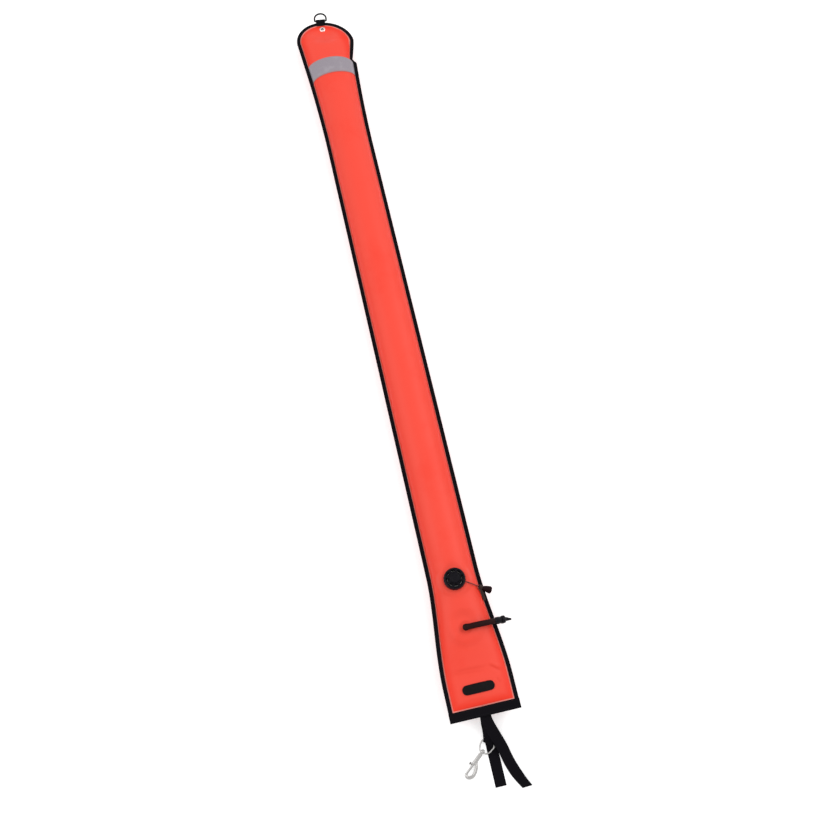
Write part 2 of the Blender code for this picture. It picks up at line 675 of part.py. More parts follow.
def build_head(shades):
    """Eyelet, its washer, the webbing tab and the D-ring that swings on it."""
    top, wall = WELD_TOP + CLEARANCE, EYELET_WALL
    outer = EYELET_BORE + wall
    flange = lathe("eyelet", [
        (EYELET_BORE, top + wall), (EYELET_FLANGE * 0.72, top + 1.7 * wall), (EYELET_FLANGE, top + 0.5 * wall),
        (EYELET_FLANGE, top), (outer, top), (outer, -top - 2 * wall - CLEARANCE),
        (outer + wall, -top - 2 * wall - CLEARANCE), (outer + wall, -top - 3 * wall), (EYELET_BORE, -top - 3 * wall)], 28)
    add_object("eyelet", moved(flange, (0, EYELET_Y, SEAM_Z)), shades["nickel"])
    washer = lathe("eyelet_washer", [(outer + CLEARANCE, -top), (EYELET_FLANGE, -top),
                                     (EYELET_FLANGE, -top - wall), (outer + CLEARANCE, -top - 1.6 * wall)], 28)
    add_object("eyelet_washer", moved(washer, (0, EYELET_Y, SEAM_Z)), shades["nickel"])

    tilt = Matrix.Rotation(-math.atan(HEAD_LEAN), 3, "Z")
    pivot = empty("d_ring_pivot", (0, HEAD_Y + RING_BAR_FROM_TIP, SEAM_Z), tilt)
    corner = RING_WIRE + 0.0006
    side = RING_HEIGHT - RING_HALF_WIDTH
    bar = RING_HALF_WIDTH - corner
    path = [(-bar, 0.0), (0.0, 0.0), (bar, 0.0)]
    path += [(bar + corner * math.sin(t), corner - corner * math.cos(t)) for t in (math.pi / 4, math.pi / 2)]
    path += [(RING_HALF_WIDTH * math.cos(t), side + (RING_HEIGHT - side) * math.sin(t))
             for t in np.linspace(0.0, math.pi, 15)]
    path += [(-bar - corner * math.sin(t), corner - corner * math.cos(t)) for t in (math.pi / 2, math.pi / 4)]
    loop = [(x, y, 0.0) for x, y in path]
    add_object("d_ring", tube("d_ring", loop, RING_WIRE, sides=10, closed=True), shades["black_metal"], pivot, True)

    leg = SLOT_HALF + BINDING_THICKNESS + CLEARANCE + TAB_THICKNESS / 2
    wrap = RING_WIRE + CLEARANCE + TAB_THICKNESS / 2
    route = [(-TAB_LAP, leg), (-TAB_LAP * 0.6, leg), (-wrap * 1.3, max(leg, wrap))]
    route += [(wrap * math.sin(t), wrap * math.cos(t)) for t in np.linspace(0.0, math.pi, 9)]
    route += [(-wrap * 1.3, -max(leg, wrap)), (-TAB_LAP * 0.6, -leg), (-TAB_LAP, -leg)]
    tab = ribbon("d_ring_tab", [(0.0, y, z) for y, z in route], [(1.0, 0.0, 0.0)] * len(route),
                 TAB_WIDTH, TAB_THICKNESS)
    holder = empty("d_ring_tab_frame", (0, HEAD_Y + RING_BAR_FROM_TIP, SEAM_Z), tilt)
    add_object("d_ring_tab", tab, shades["webbing"], holder, True)


def sector(name, inner, outer, centre, half_angle, bottom, top):
    """A curved block that cuts one vent."""
    angles = np.linspace(centre - half_angle, centre + half_angle, 5)
    ring = [(outer * math.cos(t), outer * math.sin(t)) for t in angles]
    ring += [(inner * math.cos(t), inner * math.sin(t)) for t in reversed(angles)]
    path = [bottom, top]
    return sweep(name, path, [[(x, y, z) for x, y in ring] for z in path])


def build_valve(shades):
    """Dump valve: welded base, knurled body, vented cap, poppet with its seal and spring."""
    frame = empty("valve_frame", (0, VALVE_Y, VALVE_Z))
    under = -PANEL_THICKNESS - CLEARANCE
    base = lathe("valve_base", [(COLLAR_OUTER, COLLAR_HEIGHT), (COLLAR_OUTER, under), (VALVE_FLANGE, under),
                                (VALVE_FLANGE, under - VALVE_FLANGE_THICKNESS),
                                (COLLAR_INNER, under - VALVE_FLANGE_THICKNESS), (COLLAR_INNER, COLLAR_HEIGHT)], 40)
    add_object("valve_base", base, shades["hard_plastic"], frame, True)

    def knurl(radius, angle):
        if radius < VALVE_RIM - 0.0012:
            return radius
        return radius - VALVE_SCALLOP_DEPTH * (1.0 - math.cos(VALVE_SCALLOPS * angle)) / 2

    bore = COLLAR_OUTER + CLEARANCE
    body = lathe("valve_body", [(bore, CLEARANCE), (VALVE_RIM - 0.0010, CLEARANCE), (VALVE_RIM, 0.0016),
                                (VALVE_RIM, VALVE_RIM_HEIGHT - 0.0014), (VALVE_RIM - 0.0010, VALVE_RIM_HEIGHT),
                                (bore, VALVE_RIM_HEIGHT)], VALVE_SCALLOPS * 4, knurl)
    body = add_object("valve_body", body, shades["hard_plastic"], frame, True)
    half = CORD_PORT_WIDTH / 2
    slot = [(-half, CORD_PORT_SPAN[0]), (half, CORD_PORT_SPAN[0]), (half, CORD_PORT_SPAN[1]), (-half, CORD_PORT_SPAN[1])]
    reach = (bore - 0.001, VALVE_RIM + 0.002)
    port = sweep("cord_port", reach, [[(x, y, z) for y, z in slot] for x in reach])
    cut(body, turned(port, Matrix.Rotation(math.radians(CORD_HEADING), 3, "Z")), "cord_port", frame)

    floor = VALVE_RIM_HEIGHT + CLEARANCE
    plate = floor + CAP_HEIGHT
    lid = plate + CAP_PLATE
    hub_top = lid + HUB_HEIGHT
    pocket = plate + SPRING_POCKET_DEPTH
    stem_top = VALVE_STEM_TOP + POPPET_TRAVEL + CLEARANCE
    cap = lathe("valve_cap", [
        (CAP_RADIUS - CAP_WALL, floor), (CAP_RADIUS, floor), (CAP_RADIUS, lid - 0.0010), (CAP_RADIUS - 0.0012, lid),
        (HUB_RADIUS, lid), (HUB_RADIUS, hub_top - 0.0012), (HUB_RADIUS - 0.0014, hub_top), (0.0, hub_top),
        (0.0, stem_top), (STEM_BORE, stem_top), (STEM_BORE, pocket), (SPRING_POCKET, pocket), (SPRING_POCKET, plate),
        (CAP_RADIUS - CAP_WALL, plate)], 48)
    cap = add_object("valve_cap", cap, shades["hard_plastic"], frame, True)
    half = VENT_SHARE * math.pi / VENT_COUNT
    vents = [sector("vent", VENT_INNER, VENT_OUTER, 2 * math.pi * k / VENT_COUNT, half, plate - 0.001, lid + 0.001)
             for k in range(VENT_COUNT)]
    cut(cap, join_meshes("valve_vents", vents), "valve_vents", frame)

    lift = empty("poppet_guide", (0, VALVE_Y, VALVE_Z))
    seat = COLLAR_HEIGHT + CLEARANCE
    seal = lathe("poppet_seal", [(SEAL_INNER, seat), (SEAL_OUTER, seat), (SEAL_OUTER, seat + SEAL_THICKNESS),
                                 (SEAL_INNER, seat + SEAL_THICKNESS)], 36)
    add_object("poppet_seal", seal, shades["silicone"], lift, True)
    disc = seat + SEAL_THICKNESS + CLEARANCE
    poppet = lathe("poppet", [(0.0, disc), (DISC_RADIUS, disc), (DISC_RADIUS, disc + DISC_THICKNESS),
                              (STEM_RADIUS, disc + DISC_THICKNESS), (STEM_RADIUS, VALVE_STEM_TOP),
                              (0.0, VALVE_STEM_TOP)], 36)
    add_object("poppet", poppet, shades["hard_plastic"], lift, True)
    spring = coil("valve_spring", SPRING_RADIUS, SPRING_WIRE, SPRING_TURNS, disc + DISC_THICKNESS + CLEARANCE,
                  pocket - CLEARANCE)
    add_object("valve_spring", spring, shades["steel"], frame, True)


VALVE_STEM_TOP = VALVE_RIM_HEIGHT + CLEARANCE + CAP_HEIGHT + SPRING_POCKET_DEPTH + 0.0004


def build_pull(shades):
    """Pull cord from the valve's side port to the knob on the seam, and the keeper that holds it there."""
    heading = math.radians(CORD_HEADING)
    out = Vector((math.cos(heading), math.sin(heading), 0.0))
    centre = Vector((0.0, VALVE_Y, SEAM_Z))
    dip = math.radians(KNOB_DIP)
    axis = out * math.cos(dip) - Vector((0, 0, math.sin(dip)))
    neck = centre + out * KNOB_OUT + Vector((0, 0, KNOB_UP))
    up = Vector((0, 0, 1))
    port = Vector((0, 0, VALVE_Z + CORD_PORT_HEIGHT - SEAM_Z))
    mouth = centre + out * CORD_MOUTH + port
    route = [centre + out * CORD_START + port, mouth]
    route += [mouth.lerp(neck, k) + up * CORD_BOW * math.sin(math.pi * k) for k in (0.2, 0.4, 0.6, 0.8)]
    route += [neck, neck + axis * (CORD_IN_KNOB / 2), neck + axis * CORD_IN_KNOB]
    curve = bpy.data.curves.new("pull_cord", "CURVE")
    curve.dimensions = "3D"
    line = curve.splines.new("POLY")
    points = spline([tuple(p) for p in route], 2)
    line.points.add(len(points) - 1)
    line.points.foreach_set("co", np.column_stack([points, np.ones(len(points))]).ravel())
    curve.bevel_depth = CORD_RADIUS
    curve.bevel_resolution = 2
    curve.use_fill_caps = True
    add_object("pull_cord", curve, shades["cord"])

    turn = up.rotation_difference(axis).to_matrix()
    guide = empty("pull_knob_guide", neck, turn)
    knob = lathe("pull_knob", [(KNOB_BORE, 0.0), (KNOB_NECK, 0.0), (KNOB_NECK, 0.0080),
                               (KNOB_NECK * 1.5, KNOB_LENGTH * 0.38), (KNOB_END * 0.86, KNOB_LENGTH * 0.66),
                               (KNOB_END, KNOB_LENGTH * 0.84), (KNOB_END, KNOB_LENGTH - 0.0012),
                               (KNOB_END - 0.0012, KNOB_LENGTH), (KNOB_BORE * 2, KNOB_LENGTH),
                               (KNOB_BORE * 2, KNOB_LENGTH * 0.62), (KNOB_BORE, KNOB_LENGTH * 0.62)], 28)
    add_object("pull_knob", knob, shades["rubber"], guide, True)

    route = [(x, FOOT_Y + y, SEAM_Z + z) for x, y, z in KEEPER_PATH]
    over = neck + axis * KEEPER_ON_NECK
    side = Vector((-math.sin(heading), math.cos(heading), 0.0))
    crown = axis.cross(side)
    radius = KNOB_NECK + CLEARANCE + KEEPER_THICKNESS / 2 + 0.0003
    wrap = [math.radians(k) for k in (75, 45, 15, -15, -45, -75, -100)]
    route += [tuple(over + (crown * math.cos(t) - side * math.sin(t)) * radius) for t in wrap]
    path = spline(route, 2)
    turn = smooth((path[:, 1] - path[0, 1]) / 0.025)[:, None]
    tilt = math.radians(KEEPER_TILT)
    widths = np.array([math.cos(tilt), 0.0, -math.sin(tilt)]) * (1.0 - turn) + np.array(axis) * turn
    widths /= np.linalg.norm(widths, axis=1)[:, None]
    keeper = ribbon("cord_keeper", path, widths, KEEPER_WIDTH, KEEPER_THICKNESS)
    add_object("cord_keeper", keeper, shades["webbing"])


def build_inflator(shades):
    """Oral inflator: welded elbow, rubber hose, and the sprung mouthpiece with its lock ring."""
    frame = empty("inflator_frame", (0, INFLATOR_Y, INFLATOR_Z))
    under = -PANEL_THICKNESS - CLEARANCE
    profile = [(0.0, under - ELBOW_FLANGE_THICKNESS), (ELBOW_FLANGE, under - ELBOW_FLANGE_THICKNESS),
               (ELBOW_FLANGE, under), (ELBOW_POST, under)]
    start = -math.acos(ELBOW_POST / ELBOW_BALL)
    profile += [(ELBOW_BALL * math.cos(t), ELBOW_HEIGHT + ELBOW_BALL * math.sin(t))
                for t in np.linspace(start, math.pi / 2, 9)[:-1]]
    profile += [(0.0, ELBOW_HEIGHT + ELBOW_BALL)]
    add_object("inflator_elbow", lathe("inflator_elbow", profile, 28), shades["rubber"], frame, True)

    pivot = empty("inflator_pivot", (0, INFLATOR_Y, INFLATOR_Z + ELBOW_HEIGHT))
    reach = np.linspace(HOSE_START, HOSE_REACH, 9)
    path = [(x, 0.0, -HOSE_DROOP * max(0.0, x - HOSE_LEVEL) ** 2) for x in reach]
    hose = add_object("inflator_hose", tube("inflator_hose", path, HOSE_RADIUS, sides=20),
                      shades["rubber"], pivot, True)
    first, last = Vector(path[0]), Vector(path[-1])
    slope = math.atan(2 * HOSE_DROOP * (HOSE_REACH - HOSE_LEVEL))
    longer = [first - Vector((0.002, 0, 0))] + path[1:-1]
    longer += [last, last + Vector((math.cos(slope), 0, -math.sin(slope))) * 0.002]
    cut(hose, tube("hose_bore", longer, HOSE_BORE, sides=16), "hose_bore", pivot)

    along = Matrix.Rotation(math.pi / 2 + slope, 3, "Y")
    head = empty("inflator_head", Vector((0, INFLATOR_Y, INFLATOR_Z + ELBOW_HEIGHT)) + last, along, pivot)
    barrel = lathe("inflator_barrel", [
        (AIR_BORE, -BARB_LENGTH), (BARB_RADIUS, -BARB_LENGTH), (BARB_RADIUS, CLEARANCE), (HOSE_RADIUS, CLEARANCE),
        (BARREL_RADIUS * 0.97, BARREL_LENGTH * 0.19), (BARREL_RADIUS, BARREL_LENGTH * 0.48),
        (BARREL_RADIUS * 0.95, BARREL_LENGTH * 0.80),
        (BARREL_RADIUS * 0.84, BARREL_LENGTH), (BARREL_CHAMBER, BARREL_LENGTH), (BARREL_CHAMBER, BARREL_FLOOR),
        (AIR_BORE, BARREL_FLOOR)], 28)
    add_object("inflator_barrel", barrel, shades["hard_plastic"], head, True)
    spring_top = BARREL_FLOOR + CLEARANCE + CHECK_SPRING_LENGTH
    spring = coil("check_spring", NOZZLE_STEM - 0.0007, SPRING_WIRE, CHECK_SPRING_TURNS, BARREL_FLOOR + CLEARANCE,
                  spring_top)
    add_object("check_spring", spring, shades["steel"], head, True)

    nozzle_guide = empty("nozzle_guide", head.matrix_world.translation, along, pivot)
    seal = spring_top + CLEARANCE
    ring = lathe("check_seal", [(NOZZLE_BORE, seal), (BARREL_CHAMBER - 0.0004, seal),
                                (BARREL_CHAMBER - 0.0004, seal + CHECK_SEAL_THICKNESS),
                                (NOZZLE_BORE, seal + CHECK_SEAL_THICKNESS)], 24)
    add_object("check_seal", ring, shades["silicone"], nozzle_guide, True)
    ring_start = BARREL_LENGTH + RING_GAP
    ring_end = ring_start + LOCK_RING_LENGTH
    stem_start = seal + CHECK_SEAL_THICKNESS + CLEARANCE
    mouth = ring_end + RING_GAP
    nozzle = lathe("mouthpiece", [
        (NOZZLE_BORE, stem_start), (NOZZLE_STEM, stem_start), (NOZZLE_STEM, mouth + 0.0012),
        (NOZZLE_STEM * 0.80, mouth + NOZZLE_MOUTH * 0.42), (NOZZLE_STEM * 0.66, mouth + NOZZLE_MOUTH * 0.60),
        (NOZZLE_TIP, mouth + NOZZLE_MOUTH - 0.0008), (NOZZLE_BORE, mouth + NOZZLE_MOUTH)], 24)
    add_object("mouthpiece", nozzle, shades["hard_plastic"], nozzle_guide, True)

    def lobes(radius, angle):
        if radius < NOZZLE_STEM + 0.001:
            return radius
        return radius + LOCK_RING_LOBE * max(0.0, math.cos(LOCK_RING_LOBES * angle)) ** 0.7

    bore = NOZZLE_STEM + NOZZLE_CLEAR
    lock = lathe("lock_ring", [(bore, ring_start), (LOCK_RING_RADIUS - 0.0010, ring_start),
                               (LOCK_RING_RADIUS, ring_start + 0.0012), (LOCK_RING_RADIUS, ring_end - 0.0024),
                               (bore + 0.0008, ring_end), (bore, ring_end)], LOCK_RING_LOBES * 8, lobes)
    ring_guide = empty("lock_ring_guide", head.matrix_world.translation, along, pivot)
    add_object("lock_ring", lock, shades["hard_plastic"], ring_guide, True)


def level(layer):
    """Centre height of a layer of the sewn strap stack, counted down from the foot band."""
    band = SEAM_Z - SLOT_HALF - FOOT_BAND_THICKNESS - CLEARANCE
    return band - STRAP_THICKNESS / 2 - layer * STRAP_PITCH


def build_straps(shades):
    """Three wrapping straps under the foot band: their sewn tails, and the free ends that fold."""
    half, notch = STRAP_WIDTH / 2, 0.0008
    top, bottom = STRAP_THICKNESS / 2, -STRAP_THICKNESS / 2
    right = []
    for layer in range(4):
        z = level(layer)
        right += [(half, z + top), (half, z + bottom)]
        if layer < 3:
            right += [(half - notch, z + bottom), (half - notch, level(layer + 1) + top)]
    section = right + [(-x, z) for x, z in reversed(right)]
    start = FOOT_Y + STRAP_COVERED + 2 * CLEARANCE
    ends = (start, start + STRAP_TAIL)
    tails = sweep("strap_tails", ends, [[(STRAP_X + x, y, z) for x, z in section] for y in ends])
    add_object("strap_tails", tails, shades["webbing"])

    hinge = empty("strap_fold", (STRAP_X, FOOT_Y, level(0) + STRAP_THICKNESS))

    def free(name, layer, points, widths=None, per_span=3):
        route = [(STRAP_X, STRAP_COVERED, level(layer)), *points]
        path = spline(route, per_span) + np.array([0.0, FOOT_Y, 0.0])
        if widths is None:
            flat = tangents(path)
            across = np.stack([-flat[:, 1], flat[:, 0], np.zeros(len(flat))], axis=-1)
            across /= np.linalg.norm(across, axis=1)[:, None]
            widths = across * np.sign(across[:, :1] + 1e-9)
        else:
            widths = spline(widths, per_span)
        return add_object(name, ribbon(name, path, widths, STRAP_WIDTH, STRAP_THICKNESS), shades["webbing"], hinge)

    lying = [(LEFT_ROUTE[-1][0], y, FLOOR_LIFT) for y in LEFT_LIES_AT]
    free("wrap_strap_a", 3, [*LEFT_ROUTE, *lying])
    roll = math.radians(RIGHT_ROLL)
    free("wrap_strap_b", 0, RIGHT_ROUTE, [
        (1, 0, 0), (1, 0, 0), (0.96, 0.28, 0), (0.955, 0.30, 0), (0.95, 0.31, 0), (0.95, 0.31, 0), (0.95, 0.31, 0),
        (0.94, 0.32, 0.05), (0.90, 0.32, 0.22), (0.80, 0.31, 0.50), (0.74 * math.cos(roll) / 0.79, 0.28, math.sin(roll))])

    turn = math.radians(BAIL_HEADING)
    forward = np.array([math.cos(turn), math.sin(turn), 0.0])
    across = (-math.sin(turn), math.cos(turn), 0.0)
    across = tuple(-c for c in across) if across[0] < 0 else across
    radius = BAIL_WIRE + CLEARANCE + STRAP_THICKNESS / 2 + 0.0001
    centre = np.array([BAR_CENTRE[0], BAR_CENTRE[1] + FOOT_Y, SNAP_HEIGHT])
    wrap = [centre + radius * (forward * math.cos(t) + np.array([0, 0, 1.0]) * math.sin(t))
            for t in np.linspace(math.pi / 2, -math.pi / 2, 9)]
    away = np.array([0.0, FOOT_Y, 0.0])
    upper = spline([(STRAP_X, STRAP_COVERED, level(1)), *LOOP_UPPER, tuple(wrap[0] - away)], 2) + away
    lower = spline([tuple(wrap[-1] - away), *LOOP_LOWER, (STRAP_X, STRAP_COVERED, level(2))], 2) + away
    path = np.concatenate([upper[:-1], wrap, lower[1:]])
    share = smooth((FOOT_Y - path[:, 1]) / LOOP_TURN)[:, None]
    widths = np.array([1.0, 0, 0]) * (1 - share) + np.array(across) * share
    widths /= np.linalg.norm(widths, axis=1)[:, None]
    add_object("snap_loop_strap", ribbon("snap_loop_strap", path, widths, STRAP_WIDTH, STRAP_THICKNESS),
               shades["webbing"], hinge)
    return hinge


def build_snap(shades, hinge):
    """Swivel bolt snap: bail on the strap loop, hook on its post, sprung gate bolt with a thumb knob."""
    centre = (BAR_CENTRE[0], BAR_CENTRE[1] + FOOT_Y, SNAP_HEIGHT)
    bail_frame = empty("bail_pivot", centre, Matrix.Rotation(math.radians(BAIL_HEADING), 3, "Z"), hinge)
    along, side = BOSS_OFFSET
    corner = BAIL_CORNER
    reach = BAIL_HALF + corner
    path = [*BAIL_ARMS[0], (corner * 1.7, reach), (corner, reach),
            (corner * 0.29, BAIL_HALF + corner * 0.71), (0.0, BAIL_HALF), (0.0, 0.0), (0.0, -BAIL_HALF),
            (corner * 0.29, -BAIL_HALF - corner * 0.71), (corner, -reach), (corner * 1.7, -reach),
            *BAIL_ARMS[1]]
    bail = add_object("snap_bail", tube("snap_bail", [(s, p, 0.0) for s, p in path], BAIL_WIRE, sides=12),
                      shades["steel"], bail_frame, True)
    swing = math.radians(HOOK_HEADING - BAIL_HEADING)
    to_axis = Matrix.Rotation(swing, 3, "Z") @ Matrix.Rotation(math.pi / 2, 3, "Y")
    half = BOSS_LENGTH / 2
    eye = moved(turned(rod("bail_boss", BOSS_RADIUS, -half, half, 20), to_axis), (along, side, 0))
    cut(bail, eye, "bail_boss", bail_frame, "UNION")
    bore = moved(turned(rod("bail_bore", BOSS_BORE, -0.0045, 0.012, 16), to_axis), (along, side, 0))
    cut(bail, bore, "bail_bore", bail_frame)
    recess = moved(turned(rod("bail_recess", POST_HEAD + 0.0004, -0.0085, -half, 20), to_axis), (along, side, 0))
    cut(bail, recess, "bail_recess", bail_frame)

    boss = bail_frame.matrix_world @ Vector((along, side, 0.0))
    heading = Matrix.Rotation(math.radians(HOOK_HEADING), 3, "Z") @ Matrix.Rotation(math.pi / 2, 3, "Y")
    hook_frame = empty("swivel_pivot", boss, heading, bail_frame)
    head_start = -half - 0.0004 - POST_HEAD_LENGTH
    body = lathe("snap_hook", [
        (0.0, head_start), (POST_HEAD - 0.0008, head_start), (POST_HEAD, head_start + 0.0008),
        (POST_HEAD, -half - 0.0004), (POST_RADIUS, -half - 0.0004), (POST_RADIUS, half + 0.0004),
        (SNAP_BARREL - 0.0010, half + 0.0004), (SNAP_BARREL - 0.0010, BARREL_START),
        (SNAP_BARREL, BARREL_START + 0.0014), (SNAP_BARREL, BARREL_END - 0.0010),
        (SNAP_BARREL - 0.0006, BARREL_END), (0.0, BARREL_END)], 24)
    hook = add_object("snap_hook", body, shades["steel"], hook_frame, True)
    bend = [(22.0, 1.4), (26.0, 3.9), (30.5, 7.4), (35.0, 10.2), (40.0, 12.3), (46.0, 13.6), (51.8, 13.2),
            (56.3, 10.9), (58.8, 7.6), (59.2, 4.1), (57.9, 1.3), (55.7, 0.2), (HOOK_TIP * 1000, 0.0)]
    # The snap's frame has Z along the shaft and Y across it, to the right in plan.
    wire = tube("hook_bend", spline([(0.0, p * 0.001, s * 0.001) for s, p in bend], 2), HOOK_WIRE, sides=12,
                up=(1.0, 0.0, 0.0))
    cut(hook, wire, "hook_bend", hook_frame, "UNION")
    cut(hook, rod("snap_bore", SNAP_BORE, SNAP_BORE_START, BARREL_END + 0.004, 20), "snap_bore", hook_frame)
    slot_half = THUMB_STEM + 0.0004
    slot_start = THUMB_AT - GATE_TRAVEL - THUMB_STEM - 0.0006
    slot = sweep("thumb_slot", [0, 1], [[(x, y, z) for y, z in (
        (-0.008, slot_start), (0.0, slot_start), (0.0, BARREL_END + 0.002), (-0.008, BARREL_END + 0.002))]
        for x in (-slot_half, slot_half)])
    cut(hook, slot, "thumb_slot", hook_frame)

    gate_frame = empty("gate_guide", boss, heading, hook_frame)
    tip = HOOK_TIP - CLEARANCE
    gate = lathe("gate_bolt", [(0.0, GATE_TAIL), (GATE_RADIUS, GATE_TAIL), (GATE_RADIUS, tip - 0.0008),
                               (GATE_RADIUS - 0.0008, tip), (0.0, tip)], 20)
    gate = add_object("gate_bolt", gate, shades["steel"], gate_frame, True)
    upright = Matrix.Rotation(math.pi / 2, 3, "X")
    seat = GATE_RADIUS - 0.0012
    socket = moved(turned(rod("thumb_socket", THUMB_STEM + CLEARANCE, seat, 0.006, 14), upright), (0, 0, THUMB_AT))
    cut(gate, socket, "thumb_socket", gate_frame)
    knob = lathe("gate_thumb_knob", [
        (0.0, seat + CLEARANCE), (THUMB_STEM, seat + CLEARANCE), (THUMB_STEM, THUMB_REACH - 0.0030),
        (THUMB_RADIUS - 0.0006, THUMB_REACH - 0.0028), (THUMB_RADIUS, THUMB_REACH - 0.0020),
        (THUMB_RADIUS, THUMB_REACH - 0.0008), (THUMB_RADIUS - 0.0008, THUMB_REACH), (0.0, THUMB_REACH)], 18)
    add_object("gate_thumb_knob", moved(turned(knob, upright), (0, 0, THUMB_AT)), shades["steel"], gate_frame, True)
    spring = coil("gate_spring", SNAP_BORE - 2 * GATE_SPRING_WIRE, GATE_SPRING_WIRE, GATE_SPRING_TURNS,
                  SNAP_BORE_START + CLEARANCE, GATE_TAIL - CLEARANCE, steps=10)
    add_object("gate_spring", spring, shades["steel"], hook_frame, True)


def main():
    for obj in list(bpy.data.objects):
        bpy.data.objects.remove(obj, do_unlink=True)
    shades = {
        "fabric": material("coated_fabric", (0.93, 0.10, 0.05), 0.5),
        "webbing": material("webbing", (0.012, 0.012, 0.014), 0.8),
        "reflective": material("reflective_tape", (0.36, 0.34, 0.37), 0.35, 0.4),
        "rubber": material("rubber", (0.02, 0.018, 0.02), 0.6),
        "hard_plastic": material("hard_plastic", (0.03, 0.03, 0.04), 0.35),
        "silicone": material("silicone", (0.6, 0.6, 0.6), 0.45),
        "cord": material("cord", (0.03, 0.01, 0.01), 0.7),
        "nickel": material("nickel", (0.75, 0.73, 0.70), 0.25, 1.0),
        "black_metal": material("black_metal", (0.015, 0.015, 0.017), 0.4, 0.5),
        "steel": material("stainless_steel", (0.72, 0.71, 0.69), 0.22, 1.0),
    }
    build_panels(shades)
    build_binding(shades)
    build_reflective_band(shades)
    build_badge(shades)
    build_head(shades)
    build_valve(shades)
    build_pull(shades)
    build_inflator(shades)
    hinge = build_straps(shades)
    build_snap(shades, hinge)


main()
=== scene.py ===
"""Looks of a surface marker buoy: a closed fabric tube that lies on its back, with its fittings.

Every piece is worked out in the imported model's frame: metres, +Z up, +Y towards the head with its D-ring,
+X to the right. The places and sizes are the solids' own. The file is laid out as an add-on and is run as a
script.
"""
import math

import bmesh
import bpy
import numpy as np
from bpy.props import FloatProperty, FloatVectorProperty, IntProperty, PointerProperty
from bpy.types import Operator, Panel, PropertyGroup
from mathutils import Matrix


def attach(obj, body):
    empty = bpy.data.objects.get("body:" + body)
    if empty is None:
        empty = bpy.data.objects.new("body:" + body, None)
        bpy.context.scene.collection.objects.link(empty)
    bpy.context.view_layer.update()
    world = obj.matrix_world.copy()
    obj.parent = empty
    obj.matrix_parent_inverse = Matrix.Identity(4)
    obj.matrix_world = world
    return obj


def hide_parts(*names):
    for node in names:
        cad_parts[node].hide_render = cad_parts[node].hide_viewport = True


bl_info = {
    "name": "Surface marker buoy",
    "version": (1, 0, 0),
    "blender": (4, 5, 0),
    "location": "3D View > Sidebar > Buoy",
    "description": "Builds the skins, webbing, fittings and stage of a surface marker buoy round its solids",
    "category": "Object",
}

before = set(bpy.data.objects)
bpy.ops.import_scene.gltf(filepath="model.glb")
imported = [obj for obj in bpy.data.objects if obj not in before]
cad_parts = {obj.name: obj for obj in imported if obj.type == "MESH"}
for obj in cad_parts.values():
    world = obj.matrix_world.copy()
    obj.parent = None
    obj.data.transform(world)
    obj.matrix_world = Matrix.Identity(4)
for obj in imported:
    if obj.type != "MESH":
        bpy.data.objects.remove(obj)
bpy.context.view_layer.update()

# Tube: plan and section, as in the solids
LENGTH = 1.800
CHAMBER_FABRIC = 0.134        # width of one panel between the side welds
FOOT_HALF = 0.0653
MIDDLE_HALF = 0.0473
HEAD_HALF = 0.0633
FOOT_TAPER = (0.070, 0.310)
HEAD_TAPER = (0.065, 0.400)
HEAD_TAPER_POWER = 1.9
HEAD_ROUND = 0.065
HEAD_WELD = 0.014
HEAD_LEAN = 0.14
HEAD_LEAN_SPAN = (0.140, 0.050)
FOOT_WELD = 0.0215
FOOT_RISE = 0.045
PANEL_THICKNESS = 0.0008
WELD_GAP = 0.0003
REST_FLAT = 0.0028
CLEARANCE = 0.0003
BINDING_WIDTH = 0.0090
BINDING_THICKNESS = 0.0009
BINDING_OFFSET = 0.0012
EDGE_INSET = 0.0014
FOOT_BAND_WIDTH = 0.0205
FOOT_BAND_THICKNESS = 0.0012
FOOT_BAND_OVERHANG = 0.0004
BINDING_STITCH = 0.0022       # from the tape's inner edge to its row of stitches
BINDING_DIP = 0.00016         # how far that row draws the tape in
FOOT_STITCH = 0.0030
FOOT_STITCH_OUTER = 0.0040    # from the foot edge to the outer row
FOOT_DIP = 0.00018
FOOT_TUCK = (0.0007, 0.0010)  # the strip in each open end of the band: its depth there and its thickness
REFLECTIVE_FROM_HEAD = 0.134
REFLECTIVE_WIDTH = 0.0525
REFLECTIVE_BOW = (0.0030, 0.0065)   # how far its lower and upper edge are bowed towards the head
REFLECTIVE_BOW_AT = -0.008      # x of the bow's crown
REFLECTIVE_CROWN = 0.0029       # how far the crown stands towards the head
REFLECTIVE_THICKNESS = 0.0004
BADGE_FROM_FOOT = 0.058
BADGE_LENGTH = 0.069
BADGE_WIDTH = 0.0205
BADGE_THICKNESS = 0.0014
BADGE_X = -0.0022

# Head fittings
RING_WIRE = 0.00225
RING_HALF_WIDTH = 0.01525
RING_HEIGHT = 0.0235
RING_BAR_FROM_TIP = 0.006
TAB_WIDTH = 0.0240
TAB_THICKNESS = 0.0013
TAB_LAP = 0.0175
EYELET_FROM_TIP = 0.0226
EYELET_BORE = 0.0030
EYELET_FLANGE = 0.0074
EYELET_WALL = 0.0007
EYELET_PAD = (0.010, 0.062)

